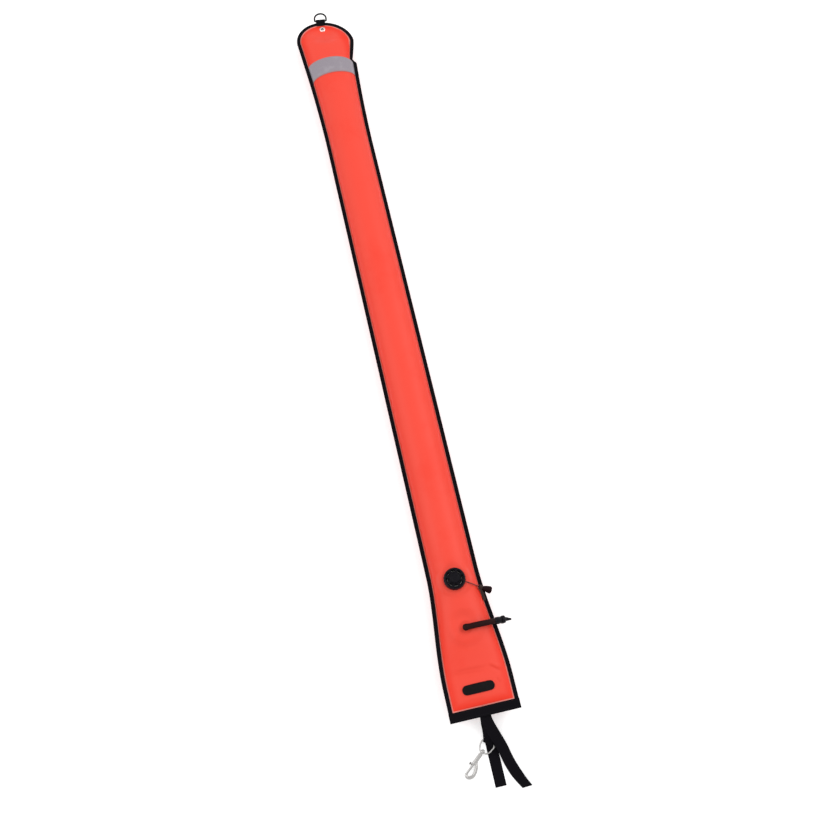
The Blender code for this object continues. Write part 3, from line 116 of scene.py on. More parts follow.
# Dump valve
VALVE_FROM_FOOT = 0.2852
VALVE_PAD = (0.0265, 0.040)
VALVE_SINK = 0.0012
VALVE_RIM = 0.0238
VALVE_RIM_HEIGHT = 0.0072
VALVE_SCALLOPS = 20
COLLAR_OUTER = 0.0170
CAP_RADIUS = 0.0228
CAP_WALL = 0.0026
CAP_HEIGHT = 0.0046
CAP_PLATE = 0.0016
HUB_RADIUS = 0.0105
HUB_HEIGHT = 0.0053
VENT_COUNT = 8
VENT_INNER = 0.0125
VENT_OUTER = 0.0192
VENT_SHARE = 0.62
STEM_BORE = 0.0022
STEM_BORE_DEPTH = 0.0036
SPRING_POCKET = 0.0062
SPRING_POCKET_DEPTH = 0.0028

# Pull cord, knob and keeper
CORD_HEADING = math.radians(-26.0)
CORD_RADIUS = 0.0010
CORD_PORT_WIDTH = 0.0032
CORD_PORT_SPAN = (0.0010, 0.0060)
CORD_PORT_HEIGHT = 0.0045
CORD_START = 0.0178
CORD_MOUTH = 0.0245
CORD_BOW = 0.0026
CORD_IN_KNOB = 0.009
KNOB_OUT = 0.054
KNOB_UP = 0.0162
KNOB_DIP = math.radians(24.8)
KNOB_LENGTH = 0.0286
KNOB_NECK = 0.0030
KNOB_END = 0.0078
KNOB_BORE = 0.0014
KEEPER_WIDTH = 0.0080
KEEPER_PATH = ((0.0546, 0.2310, 0.0064), (0.0542, 0.2380, 0.0072), (0.0535, 0.2450, 0.0092),
               (0.0525, 0.2515, 0.0126))   # x, distance from the foot edge, height over the seam
KEEPER_TILT = math.radians(40.0)
KEEPER_ON_NECK = 0.0030
KEEPER_THICKNESS = 0.0010

# Oral inflator
INFLATOR_FROM_FOOT = 0.1825
INFLATOR_PAD = (0.0185, 0.043)
INFLATOR_SINK = 0.0005
ELBOW_FLANGE = 0.0170
ELBOW_FLANGE_THICKNESS = 0.0014
ELBOW_BALL = 0.0066
ELBOW_POST = 0.0046
ELBOW_HEIGHT = 0.0078
HOSE_RADIUS = 0.0061
HOSE_BORE = 0.0045
HOSE_REACH = 0.062
HOSE_LEVEL = 0.0140
HOSE_DROOP = 4.5
HOSE_CUP_WALL = 0.0007        # of the hose's end round the ball
HOSE_CUP_CLEAR = 0.00015      # between that end and the ball
HOSE_CUP_LEAN = math.radians(30.0)
HOSE_BLEND = 0.0075           # over which the cup narrows to the hose
BARREL_LENGTH = 0.0165
BARREL_RADIUS = 0.0079
BARREL_CHAMBER = 0.0060
BARREL_FLOOR = 0.0025
BARB_LENGTH = 0.012
BARB_RADIUS = 0.0039
AIR_BORE = 0.0026
RING_GAP = 0.0005
LOCK_RING_LENGTH = 0.0090
LOCK_RING_RADIUS = 0.0078
LOCK_RING_LOBES = 6
LOCK_RING_LOBE = 0.0012
NOZZLE_STEM = 0.0047
NOZZLE_CLEAR = 0.0004
NOZZLE_MOUTH = 0.0150
NOZZLE_TIP = 0.0022
NOZZLE_BORE = 0.0014
CHECK_SEAL_THICKNESS = 0.0013
CHECK_SPRING_LENGTH = 0.0064

# Foot straps
STRAP_WIDTH = 0.0235
STRAP_THICKNESS = 0.0014
STRAP_PITCH = 0.0017
STRAP_TAIL = 0.0175
STRAP_COVERED = 0.0015
STRAP_X = -0.0010
FLOOR_LIFT = 0.00075

# Bolt snap
BAR_CENTRE = (-0.0065, -0.0532)   # from the middle of the foot edge
BAIL_HEADING = math.radians(228.0)
HOOK_HEADING = math.radians(219.0)
SNAP_HEIGHT = 0.0053
BAIL_WIRE = 0.0016
BAIL_CORNER = 0.0025
BAIL_HALF = 0.0117
BAIL_ARMS = (((0.0217, 0.0007), (0.0226, 0.0040), (0.0208, 0.0072), (0.0166, 0.0104), (0.0122, 0.0123),
              (0.0080, 0.0127)),
             ((0.0080, -0.0143), (0.0140, -0.0132), (0.0186, -0.0110), (0.0216, -0.0086), (0.0217, -0.0063)))
BOSS_OFFSET = (0.0216, -0.0028)
BOSS_RADIUS = 0.0044
BOSS_BORE = 0.0022
BOSS_LENGTH = 0.0050
POST_RADIUS = 0.0019
POST_HEAD = 0.0029
POST_HEAD_LENGTH = 0.0022
BARREL_START = 0.0060
BARREL_END = 0.0310
SNAP_BARREL = 0.0042
SNAP_BORE = 0.0026
SNAP_BORE_START = 0.0072
GATE_RADIUS = 0.0023
GATE_TAIL = 0.0200
HOOK_WIRE = 0.0027
HOOK_BEND = ((22.0, 1.4), (26.0, 3.9), (30.5, 7.4), (35.0, 10.2), (40.0, 12.3), (46.0, 13.6), (51.8, 13.2),
             (56.3, 10.9), (58.8, 7.6), (59.2, 4.1), (57.9, 1.3), (55.7, 0.2))   # along and aside, in mm
HOOK_TIP = 0.0530
GATE_TRAVEL = 0.0085
THUMB_AT = 0.0334
THUMB_STEM = 0.0012
THUMB_RADIUS = 0.0027
THUMB_REACH = 0.0082

# What the looks add to the solids
BARREL_COLLAR = 0.0048        # plain length of the inflator's barrel before its ribs
BARREL_RIBS = 6
BARREL_RIB = 0.00026
NOZZLE_SLANT = 0.16
HOOK_SWELL = 0.0008           # how much thicker the hook's wire is in the middle of its bend
THUMB_KNURLS = 16
THUMB_KNURL = 0.00018
STRAP_SLANT = 0.0028          # of the right strap's cut end
GATHER_REACH = 0.0075         # from a weld to where its gathers are deepest
INFLATOR_SHADE_RING = (0.0125, 0.0026)     # painted shade ring round the inflator's foot: its radius and its width
NIP_FROM_FOOT = 1.668         # the right edge of the head is drawn in here
NIP_ABOVE = 0.062             # ... easing out over this length towards the head
NIP_BELOW = 0.017             # ... and over this one towards the foot
MERGE = 1e-6                  # points nearer than this are one point
RIGHT, INWARD, UP = (1.0, 0.0, 0.0), (0.0, 1.0, 0.0), (0.0, 0.0, 1.0)

# Worked-out places
FOOT_Y = -LENGTH / 2
HEAD_Y = LENGTH / 2
HEAD_CENTRE_Y = HEAD_Y - HEAD_ROUND
MARGIN = BINDING_OFFSET + BINDING_WIDTH
WELD_TOP = WELD_GAP / 2 + PANEL_THICKNESS
SLOT_HALF = WELD_TOP + CLEARANCE
VALVE_Y = FOOT_Y + VALVE_FROM_FOOT
INFLATOR_Y = FOOT_Y + INFLATOR_FROM_FOOT
EYELET_Y = HEAD_Y - EYELET_FROM_TIP


# Sizes and colours to change


class SkinLooks(PropertyGroup):
    colour: FloatVectorProperty(
        name="Skin colour", description="Coated fabric of the tube", subtype="COLOR", size=3, min=0, max=1,
        default=(0.92, 0.070, 0.041))
    # Painted shade: the skin turns to this colour near the binding, where the tube curves down; it also colours
    # random slow patches.
    shade_and_patch_colour: FloatVectorProperty(
        name="Deep colour", description="The fabric where folds and welds gather it", subtype="COLOR", size=3,
        min=0, max=1, default=(0.90, 0.036, 0.013))
    weld_colour: FloatVectorProperty(
        name="Weld line", description="Pale line where the weld is pressed", subtype="COLOR", size=3,
        min=0, max=1, default=(0.86, 0.27, 0.23))
    # Painted shade: the colour of the skin down in its creases and in a ring round the inflator's foot.
    crease_shade_colour: FloatVectorProperty(
        name="Crease colour", description="The fabric down in its creases", subtype="COLOR", size=3,
        min=0, max=1, default=(0.82, 0.045, 0.022))
    weld_line: FloatProperty(
        name="Weld line width", description="Pale line inside the binding", default=0.0030, unit="LENGTH")
    pucker: FloatProperty(
        name="Pucker depth", description="Small gathers beside the welds", default=0.00035, unit="LENGTH")
    pucker_pitch: FloatProperty(
        name="Pucker spacing", description="Between gathers along the weld", default=0.034, unit="LENGTH")
    fold: FloatProperty(
        name="Fold depth", description="Creases near the foot", default=0.0011, unit="LENGTH")
    nip: FloatProperty(
        name="Head nip", description="How far the right edge of the head is drawn in", default=0.0078,
        unit="LENGTH")
    weave: FloatProperty(
        name="Weave pitch", description="Two threads of the base cloth", default=0.0009, unit="LENGTH")


class WebbingLooks(PropertyGroup):
    colour: FloatVectorProperty(
        name="Webbing colour", description="Straps, bindings and tab", subtype="COLOR", size=3, min=0, max=1,
        default=(0.0030, 0.0026, 0.0038))
    thread_colour: FloatVectorProperty(
        name="Thread colour", description="Sewing thread", subtype="COLOR", size=3, min=0, max=1,
        default=(0.011, 0.011, 0.013))
    rib: FloatProperty(
        name="Rib pitch", description="Between ribs across the webbing", default=0.0013, unit="LENGTH")
    stitch: FloatProperty(
        name="Stitch length", description="Length of one stitch", default=0.0030, unit="LENGTH")
    thread: FloatProperty(
        name="Thread radius", description="Radius of the sewing thread", default=0.00024, unit="LENGTH")


class FittingLooks(PropertyGroup):
    plastic: FloatVectorProperty(
        name="Moulded plastic", description="Valve, inflator barrel, lock ring and mouthpiece",
        subtype="COLOR", size=3, min=0, max=1, default=(0.0038, 0.0031, 0.0056))
    rubber: FloatVectorProperty(
        name="Rubber", description="Inflator elbow and pull knob", subtype="COLOR", size=3, min=0, max=1,
        default=(0.012, 0.0034, 0.0046))
    steel: FloatVectorProperty(
        name="Steel", description="Snap and springs", subtype="COLOR", size=3, min=0, max=1,
        default=(0.46, 0.45, 0.44))
    scallop: FloatProperty(
        name="Scallop depth", description="Grip scallops of the valve's rim", default=0.0006, unit="LENGTH")
    tape: FloatVectorProperty(
        name="Reflective tape", description="Grey of the beaded tape", subtype="COLOR", size=3, min=0, max=1,
        default=(0.340, 0.302, 0.345))
    braid: IntProperty(
        name="Braid strands", description="Strands across the pull cord's braid", default=8, min=4, max=24)


class StageLooks(PropertyGroup):
    floor: FloatVectorProperty(
        name="Floor colour", description="Plain pale floor", subtype="COLOR", size=3, min=0, max=1,
        default=(0.86, 0.86, 0.86))
    sky: FloatProperty(
        name="Sky strength", description="Soft light from overhead", default=0.80, min=0, max=2)
    horizon: FloatProperty(
        name="Horizon strength", description="Soft light from the sides", default=0.36, min=0, max=2)
    key: FloatProperty(
        name="Key power", description="Watts of the softbox on the right", default=32.5, min=0)
    fill: FloatProperty(
        name="Fill power", description="Watts of the softbox on the left", default=24.0, min=0)
    lens: FloatProperty(
        name="Lens", description="Focal length in millimetres", default=42.04, min=10, max=200)


# Curves and sections


def smooth(t):
    """3t^2 - 2t^3, with t held between 0 and 1: eases from 0 to 1 with level ends."""
    t = np.clip(t, 0.0, 1.0)
    return t * t * (3.0 - 2.0 * t)


def unit(v):
    """Vectors divided by their lengths."""
    v = np.asarray(v, float)
    return v / np.maximum(np.linalg.norm(v, axis=-1, keepdims=True), 1e-12)


def heading(angle):
    """The level direction at an angle from +X."""
    return np.array([math.cos(angle), math.sin(angle), 0.0])


def repeated(vector, count):
    """The same vector in each of count rows."""
    return np.repeat([vector], count, axis=0).astype(float)


def running(path):
    """Length along a path from its start to each of its points."""
    return np.concatenate([[0.0], np.cumsum(np.linalg.norm(np.diff(path, axis=0), axis=1))])


def chamber_half(y):
    """Half width of the chamber at y: wider by an eased step at the foot, and by a power at the head."""
    foot = smooth((y - FOOT_Y - FOOT_TAPER[0]) / (FOOT_TAPER[1] - FOOT_TAPER[0]))
    head = np.clip((HEAD_TAPER[1] - (HEAD_Y - y)) / (HEAD_TAPER[1] - HEAD_TAPER[0]), 0.0, 1.0)
    return (MIDDLE_HALF + (FOOT_HALF - MIDDLE_HALF) * (1.0 - foot)
            + (HEAD_HALF - MIDDLE_HALF) * head ** HEAD_TAPER_POWER)


def bulge(half):
    """Height of the half ellipse of that half width whose arc is the panel's width, by halving the interval.

    The arc's length is close to pi/2 (a + b) (1 + 3h / (10 + sqrt(4 - 3h))), with h = ((a - b)/(a + b))^2.
    """
    a = np.asarray(half, float)
    low, high = np.zeros_like(a), np.full_like(a, CHAMBER_FABRIC)
    for _ in range(40):
        b = 0.5 * (low + high)
        h = ((a - b) / (a + b)) ** 2
        length = 0.5 * math.pi * (a + b) * (1.0 + 3.0 * h / (10.0 + np.sqrt(4.0 - 3.0 * h)))
        short = length < CHAMBER_FABRIC
        low, high = np.where(short, b, low), np.where(short, high, b)
    return low


SEAM_Z = WELD_TOP + float(bulge(MIDDLE_HALF)) - REST_FLAT
VALVE_PAD_Z = WELD_TOP + float(bulge(chamber_half(VALVE_Y))) - VALVE_SINK
INFLATOR_PAD_Z = WELD_TOP + float(bulge(chamber_half(INFLATOR_Y))) - INFLATOR_SINK
VALVE_Z = SEAM_Z + VALVE_PAD_Z
INFLATOR_Z = SEAM_Z + INFLATOR_PAD_Z
PADS = ((VALVE_Y, VALVE_PAD, VALVE_PAD_Z), (INFLATOR_Y, INFLATOR_PAD, INFLATOR_PAD_Z),
        (EYELET_Y, EYELET_PAD, WELD_TOP))


def settle(points, nip=0.0):
    """Moves flat plan places to the lying tube's.

    The head leans: y falls by HEAD_LEAN x, eased in over the lean's span. Its right edge is drawn in: x falls
    by the nip times the squared share of the half width, times a curve along y that rises slowly and drops
    fast. The rim waves: z gains two sines of y, times an eased share of the half width, and none near the
    fittings.
    """
    x, y, z = np.moveaxis(np.asarray(points, float), -1, 0)
    start, end = HEAD_LEAN_SPAN
    y = y - HEAD_LEAN * x * smooth((y - (HEAD_Y - start)) / (start - end))
    at = FOOT_Y + NIP_FROM_FOOT
    above = np.clip((at + NIP_ABOVE - y) / NIP_ABOVE, 0.0, 1.0) ** 1.6
    below = smooth((y - (at - NIP_BELOW)) / NIP_BELOW)
    share = np.clip(x / HEAD_HALF, 0.0, 1.2) ** 2
    x = x - nip * np.minimum(above, below) * share
    reach = smooth(np.abs(x) / MIDDLE_HALF - 0.55)
    clear = smooth((y - FOOT_Y - 0.30) / 0.12) * smooth((HEAD_Y - 0.12 - y) / 0.10)
    side = np.where(x > 0, 1.0, -1.0)
    wave = np.sin(y * 31.0 + side * 1.3) + 0.6 * np.sin(y * 57.0 - side * 0.7)
    z = z + 0.00045 * wave * reach * clear
    return np.stack([x, y, z], axis=-1)


def rounded(outline, radius, steps=4, closed=True):
    """An outline with each corner replaced by a quadratic curve that starts and ends a radius away from it.

    radius is one value or one for each corner. The ends of an open outline stay where they are.
    """
    p = np.asarray(outline, float)
    radius = np.broadcast_to(np.asarray(radius, float), len(p)).copy()
    if not closed:
        radius[[0, -1]] = 0.0
    before, after = np.roll(p, 1, axis=0) - p, np.roll(p, -1, axis=0) - p

    def reach(leg):
        length = np.maximum(np.linalg.norm(leg, axis=1), 1e-9)
        return leg * np.minimum(radius / length, 0.45)[:, None]

    a, b = (p + reach(before))[:, None], (p + reach(after))[:, None]
    t = np.linspace(0.0, 1.0, steps + 1)[None, :, None]
    return ((1 - t) ** 2 * a + 2 * t * (1 - t) * p[:, None] + t ** 2 * b).reshape(-1, p.shape[1])


def rounded_rows(rows, steps, closed=True):
    """A rounded outline from rows of (radius, height, how far the corner is rounded)."""
    rows = np.asarray(rows, float)
    return rounded(rows[:, :2], rows[:, 2], steps, closed)


def spline(points, per_span):
    """A smooth curve through the points, with per_span steps in each span.

    Each span is a cubic whose slope at a point is half the step from the point before to the point after.
    """
    p = np.asarray(points, float)
    p = np.concatenate([[2 * p[0] - p[1]], p, [2 * p[-1] - p[-2]]])
    a, b, c, d = (p[k:len(p) - 3 + k, None] for k in range(4))
    t = np.linspace(0.0, 1.0, per_span, endpoint=False)[None, :, None]
    square, cube = (2 * a - 5 * b + 4 * c - d) * t ** 2, (3 * b - a - 3 * c + d) * t ** 3
    curve = 0.5 * (2 * b + (c - a) * t + square + cube)
    return np.concatenate([curve.reshape(-1, p.shape[1]), p[-2:-1]])


def arc(angles):
    """Points of a circle of radius 1 at the given angles."""
    return np.stack([np.cos(angles), np.sin(angles)], axis=-1)


def tangents(path, closed=False):
    """Directions along a path, by central differences."""
    step = np.roll(path, -1, axis=0) - np.roll(path, 1, axis=0) if closed else np.gradient(path, axis=0)
    return unit(step)


def carried(path, across, normal, section):
    """A section carried along a path: each point is p + u across + v normal.

    section is a list of (u, v), or one such list for each step.
    """
    section = np.broadcast_to(section, (len(path),) + np.shape(section)[-2:])
    return path[:, None] + section[..., :1] * across[:, None] + section[..., 1:] * normal[:, None]


def tube(path, radius, sides=24, closed=False, up=(0.0, 0.0, 1.0)):
    """A round bar: a circle carried along a path clear of up. radius is one value or one for each step."""
    path = np.asarray(path, float)
    forward = tangents(path, closed)
    across = unit(np.cross(forward, up))
    normal = np.cross(across, forward)
    circle = arc(np.arange(sides) * 2.0 * math.pi / sides)
    return carried(path, across, normal, np.broadcast_to(radius, len(path))[:, None, None] * circle)


def turned(profile, segments=96, swell=None):
    """A profile of (radius, height) turned about Z: x = r cos t, y = r sin t, with swell(r, t) added to r."""
    turn = (np.arange(segments) * 2.0 * math.pi / segments)[:, None]
    r, z = np.asarray(profile, float).T[:, None]
    r = r + (0.0 * turn if swell is None else swell(r, turn))
    return np.stack([r * np.cos(turn), r * np.sin(turn), z + 0.0 * turn], axis=-1)


def stand(points, origin, axis=(0.0, 0.0, 1.0), side=(1.0, 0.0, 0.0)):
    """Local points moved to a place, with their z along axis and their x as near to side as it allows."""
    z = unit(axis)
    x = unit(np.asarray(side, float) - np.dot(side, z) * z)
    return np.asarray(origin, float) + np.asarray(points, float) @ np.stack([x, np.cross(z, x), z])


def webbing_section(width, thickness, across=17, selvedge=0.10):
    """A strap's section: flat faces, half-round edges, and selvedges a tenth thicker, each a bell curve."""
    r, reach = thickness / 2, width / 2 - thickness / 2
    flat = np.linspace(-1.0, 1.0, across) * reach
    edge_u, edge_v = r * arc(np.linspace(math.pi / 2, -math.pi / 2, 7)[1:-1]).T
    u = np.concatenate([flat, reach + edge_u, flat[::-1], -reach - edge_u])
    v = np.concatenate([np.full(across, r), edge_v, np.full(across, -r), -edge_v])
    v = v * (1.0 + selvedge * np.exp(-((np.abs(u) - width / 2 + 0.0011) / 0.0007) ** 2))
    return np.stack([u, v], axis=-1)


def strap(path, widths, width, thickness, share=1.0):
    """Webbing along a path: its section carried with u along widths, times share, and v square to both."""
    widths = unit(widths)
    normal = unit(np.cross(widths, tangents(path)))
    section = np.repeat(webbing_section(width, thickness)[None], len(path), axis=0)
    section[..., 0] *= np.broadcast_to(share, len(path))[:, None]
    return carried(path, widths, normal, section)


def folded_section(width, thickness, stitch_in, dip):
    """Tape folded over an edge, as (inward, up) points of one closed outline.

    Its nose is half an ellipse, its two faces are level and dip by a bell curve at the stitch line, and its
    slot is square.
    """
    outside, nose = SLOT_HALF + thickness, 0.9 * (SLOT_HALF + thickness)
    turn = np.linspace(0.0, math.pi, 13)
    bow = np.stack([nose * (1.0 - np.sin(turn)), outside * np.cos(turn)], axis=-1)
    u = np.linspace(width - 0.0002, nose, 15)[:-1]
    face = outside - dip * np.exp(-((u - width + stitch_in) / 0.0007) ** 2)
    top = np.concatenate([[[width, SLOT_HALF]], [[width, outside - 0.0003]], np.stack([u, face], axis=-1)])
    inner = [[thickness, -SLOT_HALF], [thickness, SLOT_HALF]]
    return np.concatenate([top, bow, top[::-1] * [1.0, -1.0], inner])


# Meshes


def grid_mesh(name, points, rows_close=False, columns_close=False, caps=False, flip=False):
    """Quads over a grid of points. Its UV map holds metres: x along the rows and y across them.

    A grid that closes joins its last row or column to its first, and its map runs on over the join. caps
    fills the first and last rows of a tube with one face each.
    """
    rows, columns = points.shape[:2]
    at = np.arange(rows * columns).reshape(rows, columns)
    if rows_close:
        at = np.concatenate([at, at[:1]])
    if columns_close:
        at = np.concatenate([at, at[:, :1]], axis=1)
    flat = points.reshape(-1, 3)
    along = np.linalg.norm(np.diff(flat[at], axis=0), axis=-1).mean(axis=1)
    across = np.linalg.norm(np.diff(flat[at], axis=1), axis=-1).mean(axis=0)
    along, across = np.concatenate([[0.0], np.cumsum(along)]), np.concatenate([[0.0], np.cumsum(across)])
    uv = np.stack(np.meshgrid(along, across - across[-1] / 2, indexing="ij"), axis=-1).reshape(-1, 2)
    corner = np.arange(at.size).reshape(at.shape)

    def quads(index):
        faces = np.stack([index[:-1, :-1], index[:-1, 1:], index[1:, 1:], index[1:, :-1]], axis=-1)
        return faces.reshape(-1, 4)[:, ::-1 if flip else 1]

    faces, corners = quads(at).tolist(), quads(corner).ravel()
    if caps:
        faces += [at[0, :columns][::-1].tolist(), at[-1, :columns].tolist()]
        corners = np.concatenate([corners, corner[0, :columns][::-1], corner[-1, :columns]])
    mesh = bpy.data.meshes.new(name)
    mesh.from_pydata(flat, [], faces)
    mesh.uv_layers.new(name="UVMap").data.foreach_set("uv", uv[corners].ravel())
    return mesh


def finished(meshes, sharp=32.0):
    """Closed meshes as one: doubles merged, empty faces dropped, faces pointing outwards, shaded smooth."""
    shell = bmesh.new()
    for mesh in meshes:
        shell.from_mesh(mesh)
    bmesh.ops.remove_doubles(shell, verts=shell.verts, dist=MERGE)
    bmesh.ops.dissolve_degenerate(shell, dist=MERGE / 2, edges=shell.edges)
    bmesh.ops.recalc_face_normals(shell, faces=shell.faces)
    shell.to_mesh(meshes[0])
    shell.free()
    meshes[0].shade_smooth()
    meshes[0].set_sharp_from_angle(angle=math.radians(sharp))
    for spare in meshes[1:]:
        bpy.data.meshes.remove(spare)
    return meshes[0]


def solid(name, points, sharp=32.0, **closing):
    """A closed, finished mesh over a grid."""
    return finished([grid_mesh(name, points, **closing)], sharp)


def bar(name, points, sharp=32.0):
    """A closed, finished mesh over a section carried along a path, with a face at each end."""
    return solid(name, points, sharp, columns_close=True, caps=True)


def lathe(name, profile, origin=(0.0, 0.0, 0.0), axis=(0.0, 0.0, 1.0), side=(1.0, 0.0, 0.0), segments=96,
          swell=None, ring=False, sharp=32.0):
    """A turned piece. ring closes the profile on itself, and otherwise it starts and ends on the axis."""
    points = stand(turned(profile, segments, swell), origin, axis, side)
    return solid(name, points, sharp, rows_close=True, columns_close=ring)


def linked(name, mesh):
    """A new object in the scene, with that mesh, lamp or camera as its data."""
    piece = bpy.data.objects.new(name, mesh)
    bpy.context.scene.collection.objects.link(piece)
    return piece


def carved(mesh, tools):
    """The mesh after each (tool, operation) is cut from it or joined to it, exactly."""
    holder = linked("carving", mesh)
    helpers = [linked("carving_tool", tool) for tool, _ in tools]
    for helper, (_, operation) in zip(helpers, tools):
        modifier = holder.modifiers.new("carve", "BOOLEAN")
        modifier.operation = operation
        modifier.solver = "EXACT"
        modifier.object = helper
    made = evaluated(holder)
    made.name = mesh.name
    for obj in (holder, *helpers):
        bpy.data.objects.remove(obj)
    return made


def evaluated(obj):
    """The object's mesh with its modifiers applied."""
    graph = bpy.context.evaluated_depsgraph_get()
    return bpy.data.meshes.new_from_object(obj.evaluated_get(graph), preserve_all_data_layers=True,
                                           depsgraph=graph)


def walled(mesh, thickness):
    """The mesh as the outer side of a wall of the given thickness."""
    holder = linked("wall", mesh)
    wall = holder.modifiers.new("wall", "SOLIDIFY")
    wall.thickness = thickness
    wall.offset = -1.0
    made = evaluated(holder)
    bpy.data.objects.remove(holder)
    bpy.data.meshes.remove(mesh)
    return made


def beads(name, places, directions, normals, length, radius):
    """Stitches: a small spindle at each place, arched over the cloth.

    A spindle's rings follow s from -1 to 1 along its direction, with radius r sqrt(1 - s^2), and its middle
    line rises by 0.8 r (1 - s^2).
    """
    s = np.linspace(-1.0, 1.0, 7)
    turn = np.arange(6) * math.pi / 3
    swell = np.sqrt(np.maximum(1.0 - s ** 2, 0.0))[:, None]
    local = np.stack([np.repeat(s[:, None] * length / 2, 6, axis=1), swell * np.cos(turn) * radius,
                      swell * np.sin(turn) * radius + 0.8 * radius * swell ** 2], axis=-1)
    x, z = unit(directions), unit(normals)
    turnings = np.stack([x, np.cross(z, x), z], axis=1)
    points = places[:, None, None] + np.einsum("rsk,nkc->nrsc", local, turnings)
    count = len(places)
    at = np.arange(count * 42).reshape(count, 7, 6)
    at = np.concatenate([at, at[..., :1]], axis=2)
    faces = np.stack([at[:, :-1, :-1], at[:, 1:, :-1], at[:, 1:, 1:], at[:, :-1, 1:]], axis=-1).reshape(-1, 4)
    mesh = bpy.data.meshes.new(name)
    mesh.from_pydata(points.reshape(-1, 3), [], faces.tolist())
    return mesh


def stitch_places(path, pitch):
    """Places and directions of stitches a pitch apart along a path, read from its running length."""
    run = running(path)
    at = np.arange(pitch, run[-1] - pitch / 2, pitch)
    places = np.stack([np.interp(at, run, path[:, k]) for k in range(3)], axis=-1)
    ahead = np.stack([np.interp(at + pitch / 4, run, path[:, k]) for k in range(3)], axis=-1)
    return places, unit(ahead - places)


def stitch_row(line, up, sewn, pitch=1.25, length=1.0):
    """A row of stitches along a line, arched upwards or downwards.

    pitch and length are shares of the stitch length.
    """
    places, along = stitch_places(line, sewn.stitch * pitch)
    normals = repeated((0.0, 0.0, up), len(places))
    return beads("row", places, along, normals, sewn.stitch * length, sewn.thread)


def place(name, mesh, shade, slot, body, *nodes):
    """Links a mesh as a piece that rides on a body and stands for the given solids."""
    mesh.name = name
    mesh.materials.clear()
    mesh.materials.append(shade)
    piece = linked(name, mesh)
    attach(piece, body)
    if nodes:
        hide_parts(*nodes)
    return piece


# Shader groups and materials


def feed(node, inputs):
    """Gives a node its inputs: a socket is linked, and any other value is set. A colour is made opaque."""
    for key, value in dict(inputs).items():
        socket = node.inputs[key]
        if isinstance(value, bpy.types.NodeSocket):
            node.id_data.links.new(value, socket)
        else:
            socket.default_value = (*value, 1.0) if socket.type == "RGBA" and len(value) == 3 else value
    return node


def add(tree, kind, inputs=(), **settings):
    """A node with its settings and inputs."""
    made = tree.nodes.new(kind)
    for key, value in settings.items():
        setattr(made, key, value)
    return feed(made, inputs)


def calc(tree, operation, *values):
    """The result of a Math node."""
    return add(tree, "ShaderNodeMath", dict(enumerate(values)), operation=operation).outputs[0]


def mixed(tree, share, a, b):
    """A colour between a and b."""
    return add(tree, "ShaderNodeMix", {0: share, 6: a, 7: b}, data_type="RGBA").outputs[2]


def remap(tree, value, low, high, to_low=0.0, to_high=1.0):
    """The value's eased place between low and high, on a scale from to_low to to_high."""
    node = add(tree, "ShaderNodeMapRange", {0: value, 1: low, 2: high, 3: to_low, 4: to_high},
               interpolation_type="SMOOTHSTEP")
    return node.outputs[0]


def noise(tree, vector, scale, detail, roughness=0.5):
    """The value of a Noise Texture."""
    inputs = {"Vector": vector, "Scale": scale, "Detail": detail, "Roughness": roughness}
    return add(tree, "ShaderNodeTexNoise", inputs).outputs[0]


def shader_group(name, inputs, outputs):
    """An empty group with named inputs, (kind, default) each, and outputs, or the one that exists already."""
    if name in bpy.data.node_groups:
        return bpy.data.node_groups[name], None, None
    tree = bpy.data.node_groups.new(name, "ShaderNodeTree")
    for key, (kind, default) in inputs.items():
        socket = tree.interface.new_socket(name=key, in_out="INPUT", socket_type="NodeSocket" + kind)
        if default is not None:
            socket.default_value = default
    for key, kind in outputs.items():
        tree.interface.new_socket(name=key, in_out="OUTPUT", socket_type="NodeSocket" + kind)
    return tree, tree.nodes.new("NodeGroupInput").outputs, tree.nodes.new("NodeGroupOutput")


def plain_weave():
    """Plain weave: a bump for each crossing, as the product of two sines. Its shade is broken up by noise."""
    tree, given, out = shader_group("Plain weave", {"Vector": ("Vector", None), "Pitch": ("Float", 0.0009)},
                                    {"Height": "Float", "Shade": "Float"})
    if given:
        split = add(tree, "ShaderNodeSeparateXYZ", {0: given["Vector"]})
        turn = calc(tree, "DIVIDE", 2.0 * math.pi, given["Pitch"])
        u = calc(tree, "SINE", calc(tree, "MULTIPLY", split.outputs[0], turn))
        v = calc(tree, "SINE", calc(tree, "MULTIPLY", split.outputs[1], turn))
        height = calc(tree, "MULTIPLY_ADD", calc(tree, "MULTIPLY", u, v), 0.5, 0.5)
        slub = noise(tree, given["Vector"], 260.0, 2.0)
        feed(out, {"Height": height, "Shade": calc(tree, "MULTIPLY", height, slub)})
    return tree


def webbing_weave():
    """Webbing: ribs along the strap, each a row of staggered picks, as a product of two rectified sines."""
    tree, given, out = shader_group("Webbing weave", {"Vector": ("Vector", None), "Rib": ("Float", 0.0013)},
                                    {"Height": "Float", "Shade": "Float"})
    if given:
        split = add(tree, "ShaderNodeSeparateXYZ", {0: given["Vector"]})
        across = calc(tree, "DIVIDE", split.outputs[1], given["Rib"])
        along = calc(tree, "DIVIDE", split.outputs[0], given["Rib"])
        stagger = calc(tree, "MULTIPLY", calc(tree, "FLOOR", across), 0.5)
        rib = calc(tree, "ABSOLUTE", calc(tree, "SINE", calc(tree, "MULTIPLY", across, math.pi)))
        phase = calc(tree, "MULTIPLY", calc(tree, "ADD", along, stagger), math.pi)
        pick = calc(tree, "ABSOLUTE", calc(tree, "SINE", phase))
        height = calc(tree, "MULTIPLY", calc(tree, "SQRT", rib), calc(tree, "MULTIPLY_ADD", pick, 0.5, 0.5))
        fuzz = noise(tree, given["Vector"], 900.0, 3.0)
        shade = calc(tree, "MULTIPLY_ADD", fuzz, 0.5, calc(tree, "MULTIPLY", height, 0.6))
        feed(out, {"Height": height, "Shade": shade})
    return tree


